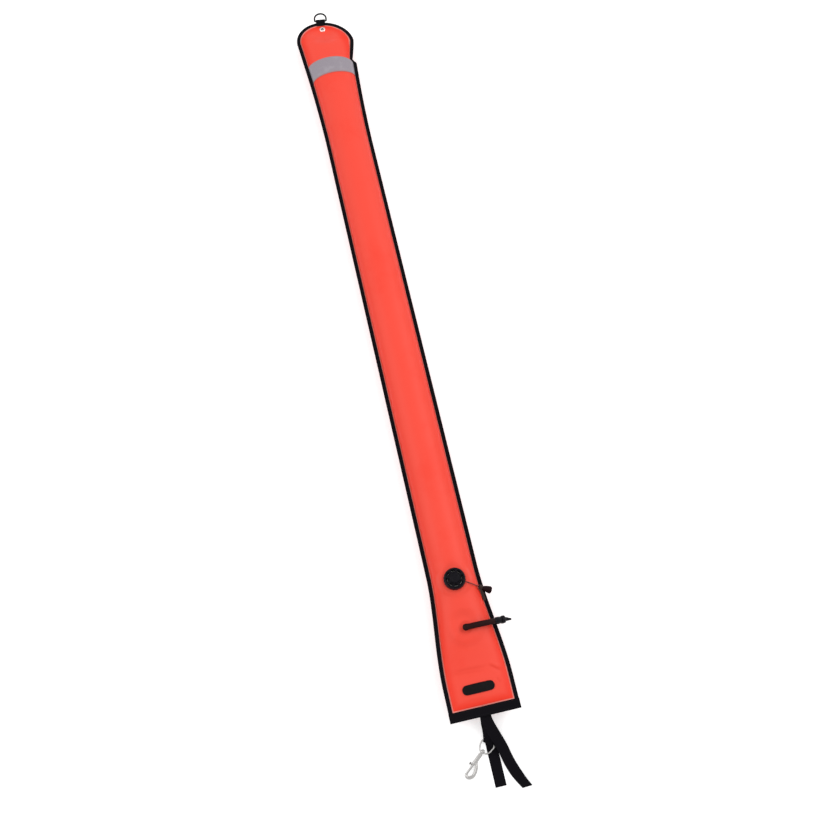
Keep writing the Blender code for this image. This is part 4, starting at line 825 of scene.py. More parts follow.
def moulded_grain():
    """Moulded surface: fine grain for the bump and slow patches for the tone, both noise."""
    tree, given, out = shader_group("Moulded grain", {"Vector": ("Vector", None), "Scale": ("Float", 900.0)},
                                    {"Height": "Float", "Tone": "Float"})
    if given:
        slow = calc(tree, "MULTIPLY", given["Scale"], 0.06)
        grain = noise(tree, given["Vector"], given["Scale"], 4.0)
        feed(out, {"Height": grain, "Tone": noise(tree, given["Vector"], slow, 2.0)})
    return tree


def wear_and_sheen_patches():
    """Wear, and painted sheen on the reflective tape: a colour pulled towards a second colour where slow noise
    passes a threshold, and its mask.
    """
    tree, given, out = shader_group(
        "Handling wear", {"Vector": ("Vector", None), "Color": ("Color", (0.5, 0.5, 0.5, 1.0)),
                          "Worn Color": ("Color", (0.6, 0.6, 0.6, 1.0)), "Amount": ("Float", 0.3),
                          "Scale": ("Float", 60.0)}, {"Color": "Color", "Mask": "Float"})
    if given:
        patches = noise(tree, given["Vector"], given["Scale"], 6.0, 0.65)
        mask = calc(tree, "MULTIPLY", remap(tree, patches, 0.48, 0.72), given["Amount"])
        feed(out, {"Color": mixed(tree, mask, given["Color"], given["Worn Color"]), "Mask": mask})
    return tree


def material(name):
    """A new material, its tree and its shader."""
    shade = bpy.data.materials.new(name)
    shade.use_nodes = True
    return shade, shade.node_tree, shade.node_tree.nodes["Principled BSDF"]


def joined(tree, group, inputs):
    """A shader group placed in a material, with its inputs."""
    node = tree.nodes.new("ShaderNodeGroup")
    node.node_tree = group
    return feed(node, inputs)


def bumped(tree, height, distance, strength=1.0):
    """The normal that a height gives."""
    inputs = {"Height": height, "Distance": distance, "Strength": strength}
    return add(tree, "ShaderNodeBump", inputs).outputs[0]


def wear_and_sheen_over(tree, vector, colour, worn_colour, amount, scale):
    """The wear and sheen group over a colour, as (colour, mask)."""
    wear = joined(tree, wear_and_sheen_patches(), {"Vector": vector, "Color": colour, "Worn Color": worn_colour,
                                          "Amount": amount, "Scale": scale})
    return wear.outputs["Color"], wear.outputs["Mask"]


def worn(tree, shader, vector, colour, worn_colour, amount, scale, roughness):
    """Base colour and roughness from the wear group. roughness is (as new, worn)."""
    colour, mask = wear_and_sheen_over(tree, vector, colour, worn_colour, amount, scale)
    rough = add(tree, "ShaderNodeMapRange", {0: mask, 1: 0.0, 2: amount, 3: roughness[0], 4: roughness[1]})
    feed(shader, {"Base Color": colour, "Roughness": rough.outputs[0]})


def uv_vector(tree):
    """The piece's UV map, which holds metres."""
    return add(tree, "ShaderNodeUVMap", uv_map="UVMap").outputs[0]


def object_vector(tree):
    """The place on the piece, in metres."""
    return add(tree, "ShaderNodeTexCoord").outputs["Object"]


def attribute(tree, name):
    """A value that the mesh holds for each point."""
    return add(tree, "ShaderNodeAttribute", attribute_name=name).outputs["Fac"]


def fabric_shade(looks):
    """Coated fabric: a pale pressed line inside the binding, painted shade near the welds and in the creases,
    and a fine weave.
    """
    shade, tree, shader = material("coated_fabric")
    weave = joined(tree, plain_weave(), {"Vector": uv_vector(tree), "Pitch": looks.weave})
    rim, line_mm = attribute(tree, "rim_mm"), looks.weld_line * 1000.0
    # Painted shade: the colour deepens from 22 mm to 5 mm off the binding, where the tube curves down to its
    # edge.
    base = mixed(tree, remap(tree, rim, 22.0, 5.0), looks.colour, looks.shade_and_patch_colour)
    colour, _ = wear_and_sheen_over(tree, object_vector(tree), base, looks.shade_and_patch_colour, 0.30, 9.0)
    # Painted shade in the creases, from the skin's crease mask.
    with_crease_shade = mixed(tree, attribute(tree, "crease"), colour, looks.crease_shade_colour)
    feed(shader, {
        "Base Color": mixed(tree, remap(tree, rim, line_mm, line_mm * 0.6), with_crease_shade, looks.weld_colour),
        "Roughness": calc(tree, "MULTIPLY_ADD", weave.outputs["Shade"], 0.10, 0.42),
        "Specular IOR Level": 0.28,
        "Normal": bumped(tree, weave.outputs["Height"], 0.00005, 0.6)})
    return shade


def webbing_shade(looks):
    """Woven black webbing with staggered picks and a faint fuzz; its raised picks are painted lighter than its
    grooves, as painted light and shade.
    """
    shade, tree, shader = material("webbing")
    weave = joined(tree, webbing_weave(), {"Vector": uv_vector(tree), "Rib": looks.rib})
    # Painted light and shade: raised picks lighter, grooves darker; the fuzz adds random tone.
    raised = tuple(1.9 * c for c in looks.colour)
    feed(shader, {
        "Base Color": mixed(tree, weave.outputs["Shade"], looks.colour, raised),
        "Roughness": calc(tree, "MULTIPLY_ADD", weave.outputs["Shade"], -0.15, 0.82),
        "Specular IOR Level": 0.05,
        "Normal": bumped(tree, weave.outputs["Height"], 0.00022, 0.9)})
    return shade


def thread_shade(looks):
    """Twisted sewing thread: slanted fine ridges by a wave on object coordinates, painted darker between the
    ridges as painted shade.
    """
    shade, tree, shader = material("sewing_thread")
    wave = add(tree, "ShaderNodeTexWave", {"Vector": object_vector(tree), "Scale": 1400.0, "Distortion": 1.0},
               bands_direction="DIAGONAL").outputs["Fac"]
    # Painted shade: darker between the twisted ridges.
    darker = tuple(0.5 * c for c in looks.thread_colour)
    feed(shader, {"Base Color": mixed(tree, wave, darker, looks.thread_colour), "Roughness": 0.6,
                  "Specular IOR Level": 0.15, "Normal": bumped(tree, wave, 0.00004)})
    return shade


def tape_shade(looks):
    """Beaded reflective tape: small cells of glass beads, each painted darker towards its edge as painted shade
    between beads, with a bound edge along each side of the band.
    """
    shade, tree, shader = material("reflective_tape")
    vector = uv_vector(tree)
    cells = add(tree, "ShaderNodeTexVoronoi", {"Vector": vector, "Scale": 1300.0}, feature="F1")
    cells = cells.outputs["Distance"]
    along = add(tree, "ShaderNodeSeparateXYZ", {0: vector}).outputs[0]
    middle = REFLECTIVE_WIDTH / 2
    off = calc(tree, "ABSOLUTE", calc(tree, "SUBTRACT", along, middle))
    border = remap(tree, off, middle - 0.0038, middle - 0.0026)
    # Painted shade between the beads: each cell darker towards its edge.
    dark = tuple(0.86 * c for c in looks.tape)
    bead = mixed(tree, remap(tree, cells, 0.1, 0.7), looks.tape, dark)
    # Paler slow patches: a painted sheen, as the beaded tape's brightness changes with the angle it is seen at.
    colour, _ = wear_and_sheen_over(tree, object_vector(tree), bead, (0.42, 0.38, 0.42), 0.5, 34.0)
    feed(shader, {
        "Base Color": mixed(tree, border, colour, (0.40, 0.22, 0.22)),
        "Roughness": remap(tree, cells, 0.0, 0.8, 0.34, 0.5),
        "Metallic": 0.25,
        "Normal": bumped(tree, cells, 0.00006, 0.5)})
    return shade


def moulded_shade(name, colour, roughness, grain, distance, gloss):
    """Moulded plastic or rubber: fine grain, slow gloss patches and a paler rub where it is handled."""
    shade, tree, shader = material(name)
    vector = object_vector(tree)
    mould = joined(tree, moulded_grain(), {"Vector": vector, "Scale": grain})
    pale = tuple(min(1.0, 1.8 * c + 0.002) for c in colour)
    worn(tree, shader, vector, colour, pale, 0.55, 90.0, (roughness, roughness + 0.16))
    height = calc(tree, "MULTIPLY_ADD", mould.outputs["Tone"], 0.6, mould.outputs["Height"])
    feed(shader, {"Normal": bumped(tree, height, distance, 0.7), "Specular IOR Level": gloss})
    return shade


def metal_shade(name, colour, roughness, dull, grain=700.0, metallic=1.0, distance=0.00002, gloss=0.5):
    """Polished or coated metal: hair scratches stretched along the piece, duller in slow patches."""
    shade, tree, shader = material(name)
    vector = object_vector(tree)
    stretch = add(tree, "ShaderNodeMapping", {"Vector": vector, "Rotation": (0.0, 0.0, HOOK_HEADING),
                                              "Scale": (0.12, 1.0, 1.0)})
    worn(tree, shader, vector, colour, dull, 0.6, 160.0, (roughness, roughness + 0.14))
    scratch = noise(tree, stretch.outputs[0], grain * 3, 3.0)
    feed(shader, {"Metallic": metallic, "Normal": bumped(tree, scratch, distance, 0.5),
                  "Specular IOR Level": gloss})
    return shade


def eyelet_shade():
    """Nickel plate, pale on the ring and near black inside the bore as painted shade, by the distance from its
    axis; its pinkish colour is a painted reflection of the red fabric.
    """
    shade, tree, shader = material("nickel_plate")
    vector = object_vector(tree)
    centred = add(tree, "ShaderNodeMapping", {"Vector": vector, "Location": (0.0, -EYELET_Y, 0.0),
                                              "Scale": (1.0, 1.0, 0.0)})
    far = add(tree, "ShaderNodeVectorMath", {0: centred.outputs[0]}, operation="LENGTH").outputs["Value"]
    outside = remap(tree, far, EYELET_BORE - 0.0001, EYELET_BORE + 0.0009)
    # Pinkish nickel: the pink is a painted reflection of the red fabric round it; the second colour is for
    # random worn patches.
    colour, _ = wear_and_sheen_over(tree, vector, (0.88, 0.66, 0.64), (0.70, 0.48, 0.46), 0.5, 190.0)
    grain = joined(tree, moulded_grain(), {"Vector": vector, "Scale": 1500.0})
    feed(shader, {
        # Painted shade: near black inside the bore.
        "Base Color": mixed(tree, outside, (0.030, 0.022, 0.020), colour),
        "Roughness": remap(tree, far, EYELET_BORE, EYELET_BORE + 0.0012, 0.55, 0.24),
        "Metallic": 1.0,
        "Normal": bumped(tree, grain.outputs["Height"], 0.00002, 0.5)})
    return shade


def cord_shade(looks):
    """Braided cord: two crossing sets of strands, as sines of the place round it plus and minus along it,
    painted darker in the valleys between strands as painted shade.
    """
    shade, tree, shader = material("braided_cord")
    split = add(tree, "ShaderNodeSeparateXYZ", {0: uv_vector(tree)})
    turn = math.pi * looks.braid / (2.0 * math.pi * CORD_RADIUS)
    along, round_it = (calc(tree, "MULTIPLY", split.outputs[k], turn) for k in (0, 1))
    strands = [calc(tree, "ABSOLUTE", calc(tree, "SINE", calc(tree, way, round_it, along)))
               for way in ("ADD", "SUBTRACT")]
    height = calc(tree, "MAXIMUM", *strands)
    # Painted shade: dark in the valleys between strands, lighter on their crests.
    feed(shader, {"Base Color": mixed(tree, height, (0.030, 0.006, 0.006), (0.115, 0.014, 0.014)),
                  "Roughness": 0.7, "Normal": bumped(tree, height, 0.00012, 0.8)})
    return shade


SHADES = {}


def shades(context):
    """The materials, made once for the scene."""
    if not SHADES:
        looks = context.scene
        fittings = looks.buoy_fittings
        SHADES["fabric"] = fabric_shade(looks.buoy_skin)
        SHADES["webbing"] = webbing_shade(looks.buoy_webbing)
        SHADES["thread"] = thread_shade(looks.buoy_webbing)
        SHADES["tape"] = tape_shade(fittings)
        # Name, colour, roughness, scale and depth of the grain, gloss
        moulded = {
            "plastic": ("moulded_plastic", fittings.plastic, 0.26, 1100.0, 0.00003, 0.10),
            "rubber": ("moulded_rubber", fittings.rubber, 0.50, 800.0, 0.00006, 0.05),
            # The hose's reddish colour is a painted reflection of the red skin.
            "hose": ("hose_rubber", (0.017, 0.0038, 0.0038), 0.48, 800.0, 0.00006, 0.08),
            "keeper": ("keeper_rubber", (0.036, 0.021, 0.018), 0.55, 700.0, 0.00006, 0.10),
            "badge": ("badge_rubber", (0.0040, 0.0030, 0.0036), 0.42, 700.0, 0.00008, 0.10),
            "silicone": ("clear_silicone", (0.55, 0.55, 0.53), 0.40, 600.0, 0.00003, 0.5),
        }
        SHADES.update({key: moulded_shade(*values) for key, values in moulded.items()})
        SHADES["cord"] = cord_shade(fittings)
        SHADES["steel"] = metal_shade("polished_steel", fittings.steel, 0.13, (0.50, 0.49, 0.48))
        # Painted shade: the thumb knob is steel like the snap, given a darker colour.
        SHADES["thumb"] = metal_shade("dull_steel", (0.20, 0.19, 0.18), 0.24, (0.12, 0.115, 0.11))
        SHADES["nickel"] = eyelet_shade()
        SHADES["black_metal"] = metal_shade("black_coated_metal", (0.0045, 0.0045, 0.0050), 0.34,
                                            (0.012, 0.012, 0.013), 500.0, 0.0, 0.00003, 0.20)
    return SHADES


# Tube


def skin_points(side, ys, head_steps, columns, pucker, pitch):
    """Outer face of one skin, rows from foot to head tip and columns from left edge to right edge.

    A row is a flat margin, half an ellipse x = a cos t, z = h sin t, and a flat margin. Over the foot the
    ellipse fills out as a quarter circle does. In the rounded head a turn of s scales the rows' half width by
    cos s and moves them on by the head's depth times sin s. Beside the welds the skin gathers: it moves along
    the ellipse's normal by a sine of the running length, times (d/w) exp(1 - d/w) at distance d from the weld.
    Also gives, for each point, its distance in plan from the binding's inner edge.
    """
    turn = np.radians(np.linspace(0.0, 88.0, head_steps))[1:]
    c, s = np.cos(turn), np.sin(turn)
    half = np.concatenate([chamber_half(ys), HEAD_HALF * c])
    row_y = np.concatenate([ys, HEAD_CENTRE_Y + (HEAD_ROUND - HEAD_WELD) * s])
    edge = np.concatenate([chamber_half(ys) + MARGIN - EDGE_INSET, (HEAD_HALF + MARGIN - EDGE_INSET) * c])
    edge_y = np.concatenate([ys, HEAD_CENTRE_Y + (HEAD_ROUND - EDGE_INSET) * s])
    rise = np.clip((ys - FOOT_Y - FOOT_WELD) / FOOT_RISE, 0.0, 1.0)
    height = np.concatenate([bulge(chamber_half(ys)) * np.sqrt(1.0 - (1.0 - rise) ** 2),
                             float(bulge(HEAD_HALF)) * c])
    half, row_y, edge, edge_y, height = (v[:, None] for v in (half, row_y, edge, edge_y, height))

    angle = np.linspace(math.pi, 0.0, columns + 1)[None, :]
    across, up = np.cos(angle), np.sin(angle)
    run = running(np.concatenate([edge, edge_y], axis=1))[:, None]
    far = np.hypot(half * (1.0 - np.abs(across)), height * up) / GATHER_REACH
    beat = (np.sin(2 * math.pi * run / pitch + 1.4 * np.sin(run * 17.0) + across)
            * (0.55 + 0.45 * np.sin(run * 29.0 + 1.7 * across + side)))
    gather = pucker * beat * far * np.exp(1.0 - far) * np.minimum(1.0, height / 0.012)
    spread = np.maximum(np.hypot(height * across, half * up), 1e-6)
    x = half * across + gather * height * across / spread
    z = height * up + gather * half * up / spread + WELD_TOP
    y = np.repeat(row_y, columns + 1, axis=1)

    share = np.array([1.0, 2 / 3, 1 / 3])[None, :]
    flat_x, flat_y = half + (edge - half) * share, row_y + (edge_y - row_y) * share
    flat_z = np.full_like(flat_x, WELD_TOP)
    x = np.concatenate([-flat_x, x, flat_x[:, ::-1]], axis=1)
    y = np.concatenate([flat_y, y, flat_y[:, ::-1]], axis=1)
    z = np.concatenate([flat_z, z, flat_z], axis=1)

    step = np.linspace(0.0, 1.0, 7)[1:, None]
    x = np.concatenate([x, np.repeat(x[-1:], 6, axis=0)])
    y = np.concatenate([y, y[-1:] * (1 - step) + (HEAD_Y - EDGE_INSET) * step])
    z = np.concatenate([z, z[-1:] * (1 - step) + WELD_TOP * step])

    beyond = np.maximum(y - HEAD_CENTRE_Y, 0.0)
    oval = np.maximum(np.hypot(x / (HEAD_HALF + BINDING_OFFSET), beyond / (HEAD_ROUND - BINDING_WIDTH)), 1e-3)
    round_rim = np.hypot(x, beyond) * (1.0 / oval - 1.0)
    straight_rim = chamber_half(y) + BINDING_OFFSET - np.abs(x)
    rim = np.where(beyond > 0, round_rim, straight_rim)
    rim = np.minimum(rim, y - FOOT_Y - FOOT_BAND_WIDTH)
    return np.stack([x, y, z], axis=-1), rim


def ridge(x, y, start, end, width):
    """A fold line between two plan points: a bell curve of the distance from the line, eased out at its ends.
    """
    (ax, ay), (bx, by) = start, end
    length = math.hypot(bx - ax, by - ay)
    ux, uy = (bx - ax) / length, (by - ay) / length
    along = (x - ax) * ux + (y - ay) * uy
    off = (x - ax) * uy - (y - ay) * ux
    ends = smooth(along / (0.35 * length) + 0.2) * smooth((length - along) / (0.35 * length) + 0.2)
    return np.exp(-(off / width) ** 2) * ends


# Creases of the front skin: start, end (x, distance from the foot edge), width, share of depth and of painted
# shade colour
FOLDS = (
    ((0.0294, 0.0997), (0.0548, 0.0803), 0.0030, -1.00, 0.85),
    ((0.0277, 0.1046), (0.0540, 0.0885), 0.0042, 0.70, 0.00),
    ((-0.0456, 0.1000), (0.0263, 0.0978), 0.0030, -0.45, 0.45),
    ((-0.0523, 0.0963), (0.0189, 0.0902), 0.0034, -0.40, 0.38),
    ((-0.0500, 0.1060), (0.0250, 0.1030), 0.0060, 0.35, 0.00),
    ((0.0390, 0.0723), (0.0465, 0.0576), 0.0022, -0.45, 0.50),
    ((-0.0343, 0.0377), (0.0109, 0.0355), 0.0034, -0.35, 0.32),
    ((0.0414, 0.2668), (0.0433, 0.2294), 0.0024, -0.40, 0.42),
    ((0.0457, 0.2118), (0.0510, 0.1976), 0.0022, -0.40, 0.42),
    ((0.0516, 0.1695), (0.0522, 0.1501), 0.0026, -0.45, 0.50),
    ((-0.0520, 0.2320), (-0.0580, 0.1860), 0.0028, -0.40, 0.25),
)


def tube_skins(context):
    """Front and back skins, welded together round their edges, with the holes for the fittings."""
    looks, shade = context.scene.buoy_skin, shades(context)["fabric"]
    weld = np.linspace(FOOT_Y + FOOT_BAND_THICKNESS + CLEARANCE, FOOT_Y + FOOT_WELD, 6)[:-1]
    near = np.linspace(FOOT_WELD, 0.36, 150) + FOOT_Y
    for name, side, tail, columns in (("front", 1.0, 250, 64), ("back", -1.0, 190, 48)):
        rest = np.linspace(near[-1], HEAD_CENTRE_Y, tail)[1:]
        ys = np.concatenate([weld, near if side > 0 else near[::2], rest])
        points, rim = skin_points(side, ys, 40, columns, looks.pucker, looks.pucker_pitch)
        x, y, z = np.moveaxis(points, -1, 0)
        crease = np.zeros_like(x)
        for pad_y, (flat, free), height in (PADS if side > 0 else PADS[2:]):
            keep = smooth((np.hypot(x, y - pad_y) - flat) / (free - flat))
            z = z * keep + height * (1.0 - keep)
        if side > 0:
            # Each fold moves the skin, and the sunken ones are also painted darker as painted shade.
            for start, end, width, share, shade_share in FOLDS:
                bell = ridge(x, y - FOOT_Y, start, end, width) * smooth(rim / 0.006)
                z = z + looks.fold * share * bell
                crease = np.maximum(crease, shade_share * bell)
            out = np.hypot(x, y - INFLATOR_Y)
            z = z + 0.0007 * smooth((ELBOW_FLANGE + 0.0008 - out) / 0.0015) * smooth((out - 0.0085) / 0.003)
            # Painted shade: a darker ring round the inflator's foot.
            crease = np.maximum(crease, 0.55 * np.exp(-((out - INFLATOR_SHADE_RING[0]) / INFLATOR_SHADE_RING[1]) ** 2))
        # The pale line follows the distance from the binding, climbs the fabric's side, and is up to twice as
        # broad on the head's right.
        widened = 1.0 + smooth((x - 0.020) / 0.030) * smooth((y - HEAD_Y + 0.10) / 0.05)
        weld_line = np.hypot(np.maximum(rim, 0.0), 0.4 * (z - WELD_TOP)) / widened
        z = SEAM_Z + side * z
        if side < 0:
            z = 0.5 * (z + np.sqrt(z ** 2 + 0.0006 ** 2))
        mesh = grid_mesh("skin", settle(np.stack([x, y, z], axis=-1), looks.nip), flip=side < 0)
        for key, values in (("rim_mm", weld_line * 1000.0), ("crease", crease)):
            mesh.attributes.new(key, "FLOAT", "POINT").data.foreach_set("value", values.ravel())
        holes = [(EYELET_BORE + EYELET_WALL + CLEARANCE, EYELET_Y, SEAM_Z)]
        if side > 0:
            holes += [(COLLAR_OUTER + CLEARANCE, VALVE_Y, VALVE_Z),
                      (ELBOW_POST + CLEARANCE, INFLATOR_Y, INFLATOR_Z)]
        tools = []
        for r, at_y, at_z in holes:
            drill = lathe("hole", [(0, -0.01), (r, -0.01), (r, 0.01), (0, 0.01)], (0, at_y, at_z))
            tools.append((drill, "DIFFERENCE"))
        skin = carved(walled(mesh, PANEL_THICKNESS), tools)
        skin.shade_smooth()
        skin.set_sharp_from_angle(angle=math.radians(50.0))
        place(name + "_skin", skin, shade, "fabric", "bladder", name + "_panel")


def rim_path():
    """The tube's outer edge at the seam, from the foot's left corner round the head to its right corner.

    The sides are the chamber's half width plus the margin, and the head is half an ellipse.
    """
    start, finer = FOOT_Y + FOOT_BAND_WIDTH + CLEARANCE / 6, HEAD_Y - 0.22
    y = np.concatenate([np.linspace(start, finer, 200), np.linspace(finer, HEAD_CENTRE_Y, 90)[1:]])
    x = chamber_half(y) + MARGIN
    t = np.linspace(math.pi, 0.0, 121)[1:-1]
    xs = np.concatenate([-x, (HEAD_HALF + MARGIN) * np.cos(t), x[::-1]])
    ys = np.concatenate([y, HEAD_CENTRE_Y + HEAD_ROUND * np.sin(t), y[::-1]])
    return np.stack([xs, ys, np.full(len(xs), SEAM_Z)], axis=-1)


def binding(context):
    """Webbing folded over the tube's edge and the wider band over its foot, with their rows of stitches.

    A strip is tucked into each open end of the band, so that the skins do not show there.
    """
    sewn, made = context.scene.buoy_webbing, shades(context)
    path = settle(rim_path(), context.scene.buoy_skin.nip)
    forward = tangents(path)
    inward = unit(np.stack([forward[:, 1], -forward[:, 0], 0 * forward[:, 0]], axis=-1))
    up = repeated(UP, len(path))
    section = folded_section(BINDING_WIDTH, BINDING_THICKNESS, BINDING_STITCH, BINDING_DIP)
    tape = bar("tape", carried(path, inward, up, section))
    place("edge_binding_tape", tape, made["webbing"], "webbing", "bladder", "edge_binding")
    lift = SLOT_HALF + BINDING_THICKNESS - BINDING_DIP
    rows = []
    for side in (1.0, -1.0):
        line = path + inward * (BINDING_WIDTH - BINDING_STITCH) + up * side * lift
        rows.append(stitch_row(line[2:-2], side, sewn))
    place("binding_stitches", finished(rows), made["thread"], "webbing", "bladder")

    half, steps = FOOT_HALF + MARGIN + FOOT_BAND_OVERHANG, 90
    xs = np.linspace(-half, half, steps)
    path = np.stack([xs, np.full(steps, FOOT_Y), SEAM_Z + 0.00018 * np.sin(xs * 120.0)], axis=-1)
    inward, up = repeated(INWARD, steps), repeated(UP, steps)
    section = folded_section(FOOT_BAND_WIDTH, FOOT_BAND_THICKNESS, FOOT_STITCH, FOOT_DIP)
    shells = [grid_mesh("band", carried(path, inward, up, section), columns_close=True, caps=True)]
    depth, thickness = FOOT_TUCK
    for x in (-half + depth, half - depth):
        tuck = np.linspace((x, FOOT_Y + 0.0006, SEAM_Z), (x, FOOT_Y + FOOT_BAND_WIDTH - 0.0002, SEAM_Z), 8)
        points = strap(tuck, repeated(UP, 8), 2 * SLOT_HALF, thickness)
        shells.append(grid_mesh("tuck", points, columns_close=True, caps=True))
    place("foot_band_tape", finished(shells), made["webbing"], "webbing", "bladder", "foot_band")
    lift = SLOT_HALF + FOOT_BAND_THICKNESS - 0.0001
    rows = []
    for side in (1.0, -1.0):
        for inset in (FOOT_STITCH, FOOT_BAND_WIDTH - FOOT_STITCH_OUTER):
            line = path + inward * (FOOT_BAND_WIDTH - inset) + up * side * lift
            rows.append(stitch_row(line, side, sewn))
    place("foot_band_stitches", finished(rows), made["thread"], "webbing", "bladder")


def reflective_tape(context):
    """Grey tape over the front skin: the skin's own half ellipses, lifted, and run on to the binding.

    It is bowed: y falls by the bow times the squared share of the half width, counted from the crown.
    """
    top, steps = HEAD_Y - REFLECTIVE_FROM_HEAD, 26
    y = np.linspace(top - REFLECTIVE_WIDTH, top, steps)[:, None]
    half, height = chamber_half(y), bulge(chamber_half(y))
    angle = np.linspace(math.pi, 0.0, 73)[None, :]
    lift = CLEARANCE + REFLECTIVE_THICKNESS
    x, z = (half + lift) * np.cos(angle), height * np.sin(angle) + WELD_TOP + lift
    ends, rim = half + BINDING_OFFSET + 0.0004, np.full_like(half, WELD_TOP + lift * 0.6)
    x = np.concatenate([-ends, x, ends], axis=1)
    z = np.concatenate([rim, z, rim], axis=1)
    bow = np.linspace(*REFLECTIVE_BOW, steps)[:, None]
    bowed = y + REFLECTIVE_CROWN - bow * ((x - REFLECTIVE_BOW_AT) / half) ** 2
    mesh = grid_mesh("tape", settle(np.stack([x, bowed, SEAM_Z + z], axis=-1), context.scene.buoy_skin.nip))
    band = finished([walled(mesh, REFLECTIVE_THICKNESS)], 50.0)
    place("reflective_tape", band, shades(context)["tape"], "reflective", "bladder", "reflective_band")


def front_height(x, y):
    """Height of the front skin's outer side at plan places of its straight part: the half ellipse's z."""
    half = chamber_half(y)
    rise = np.clip((y - FOOT_Y - FOOT_WELD) / FOOT_RISE, 0.0, 1.0)
    height = bulge(half) * np.sqrt(1.0 - (1.0 - rise) ** 2)
    return SEAM_Z + WELD_TOP + height * np.sqrt(np.maximum(0.0, 1.0 - (x / half) ** 2))


def badge(context):
    """Plain capsule patch: rings from its middle line out to its edge, each point a share r of the way.

    Its height over the skin is a field with a raised, rounded border near r = 1, then a side and a flat back.
    """
    end = BADGE_WIDTH / 2
    straight = BADGE_LENGTH / 2 - end
    t = np.linspace(0.0, 2.0 * math.pi, 144, endpoint=False)[:, None]
    round_x, round_y = end * np.cos(t), end * np.sin(t)
    middle_x = straight * np.tanh(6.0 * np.cos(t)) / math.tanh(6.0)
    border = np.array([(0.84, 0.05), (0.87, 0.30), (0.90, 0.48), (0.93, 0.50), (0.96, 0.42), (0.985, 0.22),
                       (1.0, -0.1), (1.0, -1.0), (0.97, -1.3), (0.5, -1.3), (0.0, -1.3)])
    r = np.concatenate([np.linspace(0.0, 0.80, 9), border[:, 0]])
    top = np.concatenate([np.zeros(9), border[:, 1]]) * 0.001
    x = middle_x + r * round_x + BADGE_X
    y = 0.0 * middle_x + r * round_y + FOOT_Y + BADGE_FROM_FOOT
    z = front_height(x, y) + 2 * CLEARANCE + BADGE_THICKNESS - 0.0002 + top
    mesh = solid("patch", np.stack([x, y, z], axis=-1), 45.0, rows_close=True)
    place("badge_patch", mesh, shades(context)["badge"], "rubber", "bladder", "badge")


def head_fittings(context):
    """Eyelet with its washer, the D-ring, and the webbing tab that holds it."""
    made, sewn = shades(context), context.scene.buoy_webbing
    top, wall = WELD_TOP + CLEARANCE, EYELET_WALL
    outer, at = EYELET_BORE + wall, (0.0, EYELET_Y, SEAM_Z)
    low = -top - 3 * wall
    profile = rounded([
        (EYELET_BORE - 0.0005, top + 0.4 * wall), (EYELET_BORE + 0.0008, top + 1.9 * wall),
        (EYELET_FLANGE * 0.80, top + 1.6 * wall), (EYELET_FLANGE, top + 0.6 * wall), (EYELET_FLANGE, top),
        (outer, top), (outer, low + 2 * wall - CLEARANCE), (outer + wall, low + 2 * wall - CLEARANCE),
        (outer + wall, low), (EYELET_BORE, low), (EYELET_BORE, top - wall)], 0.0004)
    eyelet = lathe("eyelet", profile, at, ring=True, sharp=50.0)
    place("eyelet_ring", eyelet, made["nickel"], "nickel", "bladder", "eyelet")
    profile = rounded([(outer + CLEARANCE, -top), (EYELET_FLANGE, -top), (EYELET_FLANGE, -top - wall),
                       (outer + CLEARANCE, -top - 1.6 * wall)], 0.0003)
    washer = lathe("washer", profile, at, ring=True)
    place("eyelet_back_washer", washer, made["nickel"], "nickel", "bladder", "eyelet_washer")

    origin, lean = (0.0, HEAD_Y + RING_BAR_FROM_TIP, SEAM_Z), math.atan(HEAD_LEAN)
    side = (math.cos(lean), -math.sin(lean), 0.0)
    corner, rise = RING_WIRE + 0.0006, RING_HEIGHT - RING_HALF_WIDTH
    straight = RING_HALF_WIDTH - corner
    t = np.linspace(0.0, math.pi / 2, 9)[1:]
    s = np.linspace(0.0, math.pi, 57)
    right = np.stack([straight + corner * np.sin(t), corner - corner * np.cos(t)], axis=-1)
    crown = np.stack([RING_HALF_WIDTH * np.cos(s), rise + (RING_HEIGHT - rise) * np.sin(s)], axis=-1)
    flat = np.stack([np.linspace(-straight, straight, 17), np.zeros(17)], axis=-1)
    loop = np.concatenate([flat, right, crown, right[::-1] * [-1.0, 1.0]])
    loop = np.column_stack([loop, np.zeros(len(loop))])
    ring = stand(tube(loop, RING_WIRE, 24, closed=True), origin, side=side)
    place("d_ring_wire", solid("ring", ring, rows_close=True, columns_close=True), made["black_metal"],
          "black_metal", "d_ring", "d_ring")

    leg = SLOT_HALF + BINDING_THICKNESS + CLEARANCE + TAB_THICKNESS / 2
    wrap = RING_WIRE + CLEARANCE + TAB_THICKNESS / 2
    t = np.linspace(0.0, math.pi, 9)
    half = np.array([(-TAB_LAP, leg), (-TAB_LAP * 0.6, leg), (-wrap * 1.3, max(leg, wrap))])
    route = np.concatenate([half, wrap * arc(t)[:, ::-1], half[::-1] * [1.0, -1.0]])
    path = spline(np.column_stack([np.zeros(len(route)), route]), 6)
    share = 1.0 - 0.15 * smooth(-path[:, 1] / TAB_LAP)
    points = strap(path, repeated(RIGHT, len(path)), TAB_WIDTH, TAB_THICKNESS, share)
    tab = bar("tab", stand(points, origin, side=side))
    place("ring_tab", tab, made["webbing"], "webbing", "bladder", "d_ring_tab")
    rows = []
    for up in (1.0, -1.0):
        for across in (-0.0155, -0.0125):
            ends = (-TAB_WIDTH * 0.38, TAB_WIDTH * 0.38)
            line = [(x, across, up * (leg + TAB_THICKNESS / 2)) for x in ends]
            rows.append(stitch_row(stand(line, origin, side=side), up, sewn, 0.9, 0.72))
    place("ring_tab_stitches", finished(rows), made["thread"], "webbing", "bladder")


# Dump valve


